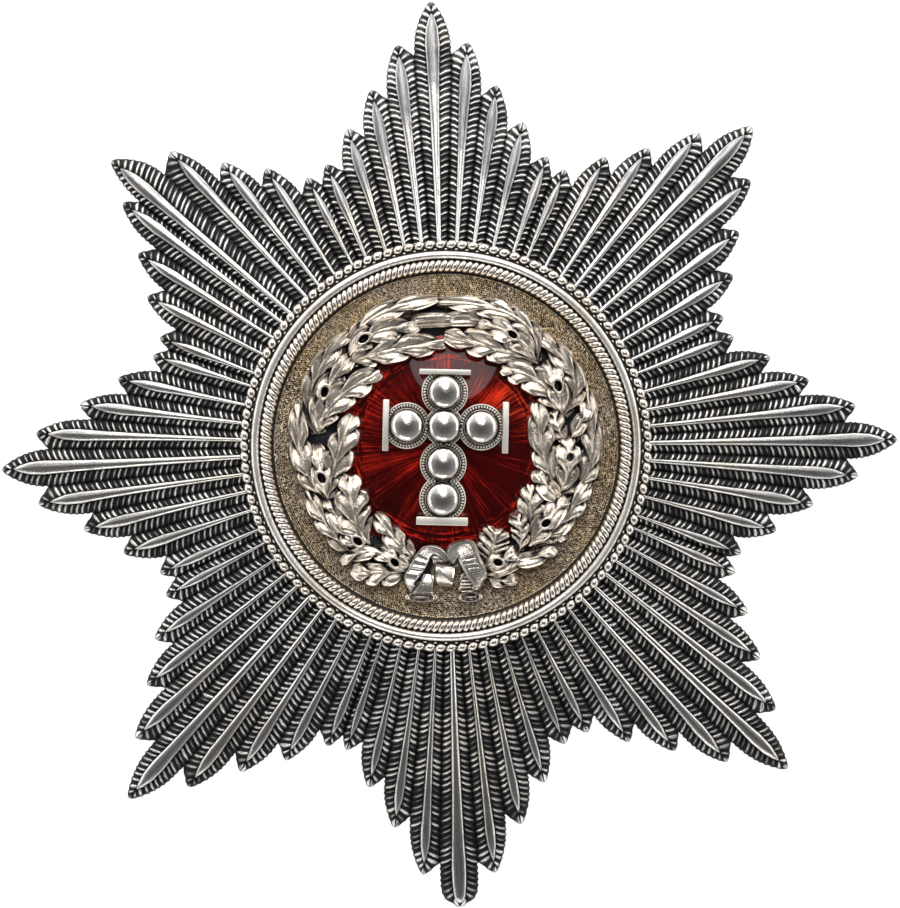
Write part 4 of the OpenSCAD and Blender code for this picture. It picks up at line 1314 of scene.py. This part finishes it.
class BREASTSTAR_OT_cross(bpy.types.Operator):
    """Sets the six domed studs in beaded settings, with pedestals and end plates"""

    bl_idname = "breaststar.cross"
    bl_label = "Ball Cross"

    def execute(self, context):
        s = context.scene.cross_sizes
        m = context.scene.medallion_sizes
        c = context.scene.star_colours
        silver = worn_silver(c, "cross_silver", (1.0, 0.95, 0.87), dark=(0.24, 0.6), rough=0.3, cold=0.0,
                             grain=3.0, deep=(0.05, 0.035, 0.02), metal=0.62)
        outer = [row for row in STUDS if row[0] != "centre"]
        cups = [self.setting(s, x * MM, y * MM, s.setting_r) for _, x, y in outer]
        cups.append(self.setting(s, 0.0, 0.0, 1.9 * MM))
        settings = join([*cups, self.grains(s, outer)], "cross_settings")
        plates = join([self.end(s, *row) for row in END_PLATES], "cross_ends")
        studs = [self.stud(s, *row) for row in STUDS]
        place = Matrix.Translation((m.across + s.across, m.up + s.up, 0)) @ Matrix.Rotation(s.turn, 4, "Z")
        for piece in (settings, plates, *studs):
            piece.data.transform(place)
        mark_openness(settings, 0.8 * MM, 12, (plates, *studs))
        mark_openness(plates, 1.0 * MM, 12, (settings, *studs))
        for piece in (settings, plates):
            dress(piece, "cross_frame", silver)
        polish = polished_silver()
        for piece in studs:
            dress(piece, piece.name.replace("stud_", "ball_"), polish)
        return {"FINISHED"}

    def stud(self, s, name, x, y):
        """A domed stud, deeper below its widest place than above it."""
        middle, dome = s.base + 1.56 * MM, 0.82 * MM
        piece = ball((x * MM, y * MM, middle), (s.stud_r, s.stud_r, dome), 64, 40)
        piece.name = "stud_" + name
        points = points_of(piece)
        above = points[:, 2] - middle
        points[:, 2] = middle + np.where(above < 0, 1.4 * above, above)
        move_points(piece, points)
        # Wear falls to 0 at the foot, where tarnish and painted shade darken the stud
        mark_points(piece, "wear", soft(above / dome, 0.1, 0.75))
        bpy.ops.object.shade_smooth()
        return piece

    def setting(self, s, x, y, radius):
        """The cup of a stud, with a smooth outer edge and a step for the grains."""
        inner, base = s.stud_r + 0.02 * MM, s.base
        profile = [
            (inner, base), (radius - 0.05 * MM, base), (radius, base + 0.06 * MM),
            (radius, base + 0.62 * MM), (radius - 0.04 * MM, base + 0.72 * MM),
            (radius - 0.09 * MM, base + 0.75 * MM), (radius - 0.14 * MM, base + 0.72 * MM),
            (radius - 0.16 * MM, base + 0.5 * MM), (inner + 0.1 * MM, base + 0.5 * MM),
            (inner + 0.08 * MM, base + 0.66 * MM), (inner + 0.03 * MM, base + 0.69 * MM),
            (inner, base + 0.62 * MM)]
        cup = spin("setting", profile, 72, (x, y))
        mend(cup, smooth=40)
        return cup

    def grains(self, s, outer):
        """The rows of fine grains round the outer studs, left out where a neighbour stands."""
        grain = ball((0, 0, 0), (0.2 * MM, 0.13 * MM, 0.27 * MM))
        mend(grain, smooth=60)
        row_r, free_r = s.setting_r - 0.33 * MM, s.stud_r + 0.1 * MM
        places = []
        for name, x, y in outer:
            for k in range(s.grains):
                turn = TAU * k / s.grains
                grain_x = x * MM + row_r * math.cos(turn)
                grain_y = y * MM + row_r * math.sin(turn)
                if all(math.hypot(grain_x - stud_x * MM, grain_y - stud_y * MM) > free_r
                       for other, stud_x, stud_y in STUDS if other != name):
                    spot = Matrix.Translation((grain_x, grain_y, s.base + 0.6 * MM))
                    places.append(spot @ Matrix.Rotation(turn, 4, "Z"))
        return copies(grain, places)

    def end(self, s, turn, reach, thick, foot):
        """A flared pedestal with the plate that closes the arm, standing on edge."""
        bpy.ops.mesh.primitive_cube_add(size=1, location=(0, reach * MM, s.base + 0.6 * MM),
                                        scale=(s.plate_w, thick * MM, 1.2 * MM))
        plate = settle(bpy.context.active_object)
        apply_modifier(plate, "BEVEL", width=0.09 * MM, segments=3)
        near, far = (1.5 * MM, (foot + 1.2) * MM), (2.1 * MM, reach * MM)
        pedestal = add_mesh("pedestal", [
            (side * x, y, z) for z in (s.base, s.base + 0.7 * MM)
            for side, (x, y) in ((-1, near), (1, near), (1, far), (-1, far))],
            [(3, 2, 1, 0), (4, 5, 6, 7), (0, 1, 5, 4), (1, 2, 6, 5), (2, 3, 7, 6), (3, 0, 4, 7)])
        apply_modifier(pedestal, "BEVEL", width=0.08 * MM, segments=2)
        both = join([plate, pedestal])
        mend(both, smooth=35)
        both.data.transform(Matrix.Rotation(math.radians(turn), 4, "Z"))
        return both


class BREASTSTAR_OT_pin(bpy.types.Operator):
    """Finishes the plain pin at the back"""

    bl_idname = "breaststar.pin"
    bl_label = "Back Pin"

    def execute(self, context):
        c = context.scene.star_colours
        f = Finish("pin_steel", Metallic=1.0)
        drawn = f.noise(f.place(stretch=(1, 0.08, 1)), 9.0, 3.0, 0.6)
        stain = f.noise(f.place(), 0.5, 3.0, 0.6)
        tint = f.mix(f.step(stain, 0.5, 0.75), c.steel, (0.33, 0.28, 0.22))
        steel = f.wire(Base_Color=tint, Roughness=0.28 + 0.2 * drawn, Normal=f.bump(drawn, 0.00004, 0.4))
        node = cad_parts["back_pin"]
        node.data.materials.clear()
        node.data.materials.append(steel)
        return {"FINISHED"}


class BREASTSTAR_OT_stage(bpy.types.Operator):
    """Sets the pale floor, the soft lights and the camera straight above"""

    bl_idname = "breaststar.stage"
    bl_label = "Stage"

    def execute(self, context):
        c = context.scene.star_colours
        bpy.ops.mesh.primitive_plane_add(size=6, location=(0, 0, 0))
        floor = settle(bpy.context.active_object)
        floor.name = "stage_floor"
        f = Finish("pale_floor", Roughness=0.9, Emission_Color=(1, 1, 1, 1), Emission_Strength=0.8)
        cloud = f.step(f.noise(f.place(), 0.4, 2.0, 0.5), 0.3, 0.7)
        floor.data.materials.append(f.wire(Base_Color=f.mix(cloud * 0.15, c.floor, (0.47, 0.47, 0.47))))

        world = bpy.data.worlds.new("studio")
        context.scene.world = world
        world.use_nodes = True
        sky = Nodes(world.node_tree)
        _, north, height = sky.parts(sky.node("ShaderNodeTexCoord", output="Generated"))
        grey = sky.node("ShaderNodeValToRGB", {"stops": (
            (0.0, 1.0), (0.28, 0.92), (0.42, 0.34), (0.75, 0.24), (1.0, 0.08))}, {0: height})
        strength = sky.node("ShaderNodeValToRGB", {"stops": (
            (0.0, 0.85), (0.35, 0.7), (0.61, 0.85), (0.73, 2.4), (1.0, 2.6))}, {0: north * 0.5 + 0.5})
        background = sky.tree.nodes["Background"]
        sky.feed(background.inputs["Color"], grey)
        sky.feed(background.inputs["Strength"], strength)

        self.light("key", (-0.05, 0.7, 0.72), (0.5, 0.6), 3.4, (1.0, 0.985, 0.96))
        self.light("near", (0.03, 0.37, 0.92), (0.36, 0.4), 0.9, (1.0, 0.99, 0.975), "ELLIPSE")
        self.light("side", (-0.9, 0.0, 0.38), (1.2, 0.3), 1.5, (1.0, 0.99, 0.98))
        self.light("low", (-0.15, -0.84, 0.42), (0.7, 0.25), 1.5, (1.0, 0.99, 0.97))
        self.light("right", (0.9, 0.15, 0.35), (0.9, 0.25), 1.35, (1.0, 0.99, 0.98))

        camera = bpy.data.cameras.new("camera")
        # Heights of the camera and of the plane it is set for, widths of its sensor and of its view there
        above, plane_z, sensor_w, view_w = 1.6, 3 * MM, 36, 87.48 * MM
        camera.sensor_fit = "HORIZONTAL"
        camera.sensor_width = sensor_w
        camera.lens = sensor_w * (above - plane_z) / view_w
        camera.clip_start = 0.01
        view = bpy.data.objects.new("camera", camera)
        context.scene.collection.objects.link(view)
        view.location = (0.243 * MM, 0.097 * MM, above)
        context.scene.camera = view
        context.scene.view_settings.view_transform = "Standard"
        return {"FINISHED"}

    def light(self, name, place, size, power, tint, shape="RECTANGLE"):
        """A soft box that faces the star."""
        data = bpy.data.lights.new(name, "AREA")
        data.shape = shape
        data.size, data.size_y = size
        data.energy = power
        data.color = tint
        lamp = bpy.data.objects.new(name, data)
        bpy.context.scene.collection.objects.link(lamp)
        lamp.location = place
        lamp.rotation_euler = Vector(place).to_track_quat("Z", "Y").to_euler()


class BREASTSTAR_PT_panel(bpy.types.Panel):
    """Lists the steps that build the star"""

    bl_label = "Breast Star"
    bl_idname = "BREASTSTAR_PT_panel"
    bl_space_type = "VIEW_3D"
    bl_region_type = "UI"
    bl_category = "Breast Star"

    def draw(self, context):
        for step in STEPS:
            self.layout.operator(step.bl_idname)


STEPS = (
    BREASTSTAR_OT_star,
    BREASTSTAR_OT_rim,
    BREASTSTAR_OT_medallion,
    BREASTSTAR_OT_wreath,
    BREASTSTAR_OT_cross,
    BREASTSTAR_OT_pin,
    BREASTSTAR_OT_stage,
)
SETTINGS = (
    ("star_sizes", StarSizes),
    ("medallion_sizes", MedallionSizes),
    ("cross_sizes", CrossSizes),
    ("star_colours", StarColours),
)


def register():
    for _, group in SETTINGS:
        bpy.utils.register_class(group)
    for name, group in SETTINGS:
        setattr(bpy.types.Scene, name, bpy.props.PointerProperty(type=group))
    for item in (*STEPS, BREASTSTAR_PT_panel):
        bpy.utils.register_class(item)


def unregister():
    for item in (BREASTSTAR_PT_panel, *reversed(STEPS)):
        bpy.utils.unregister_class(item)
    for name, group in reversed(SETTINGS):
        delattr(bpy.types.Scene, name)
        bpy.utils.unregister_class(group)


def main():
    register()
    bpy.ops.breaststar.star()
    bpy.ops.breaststar.rim()
    bpy.ops.breaststar.medallion()
    bpy.ops.breaststar.wreath()
    bpy.ops.breaststar.cross()
    bpy.ops.breaststar.pin()
    bpy.ops.breaststar.stage()


if __name__ == "__main__":
    main()
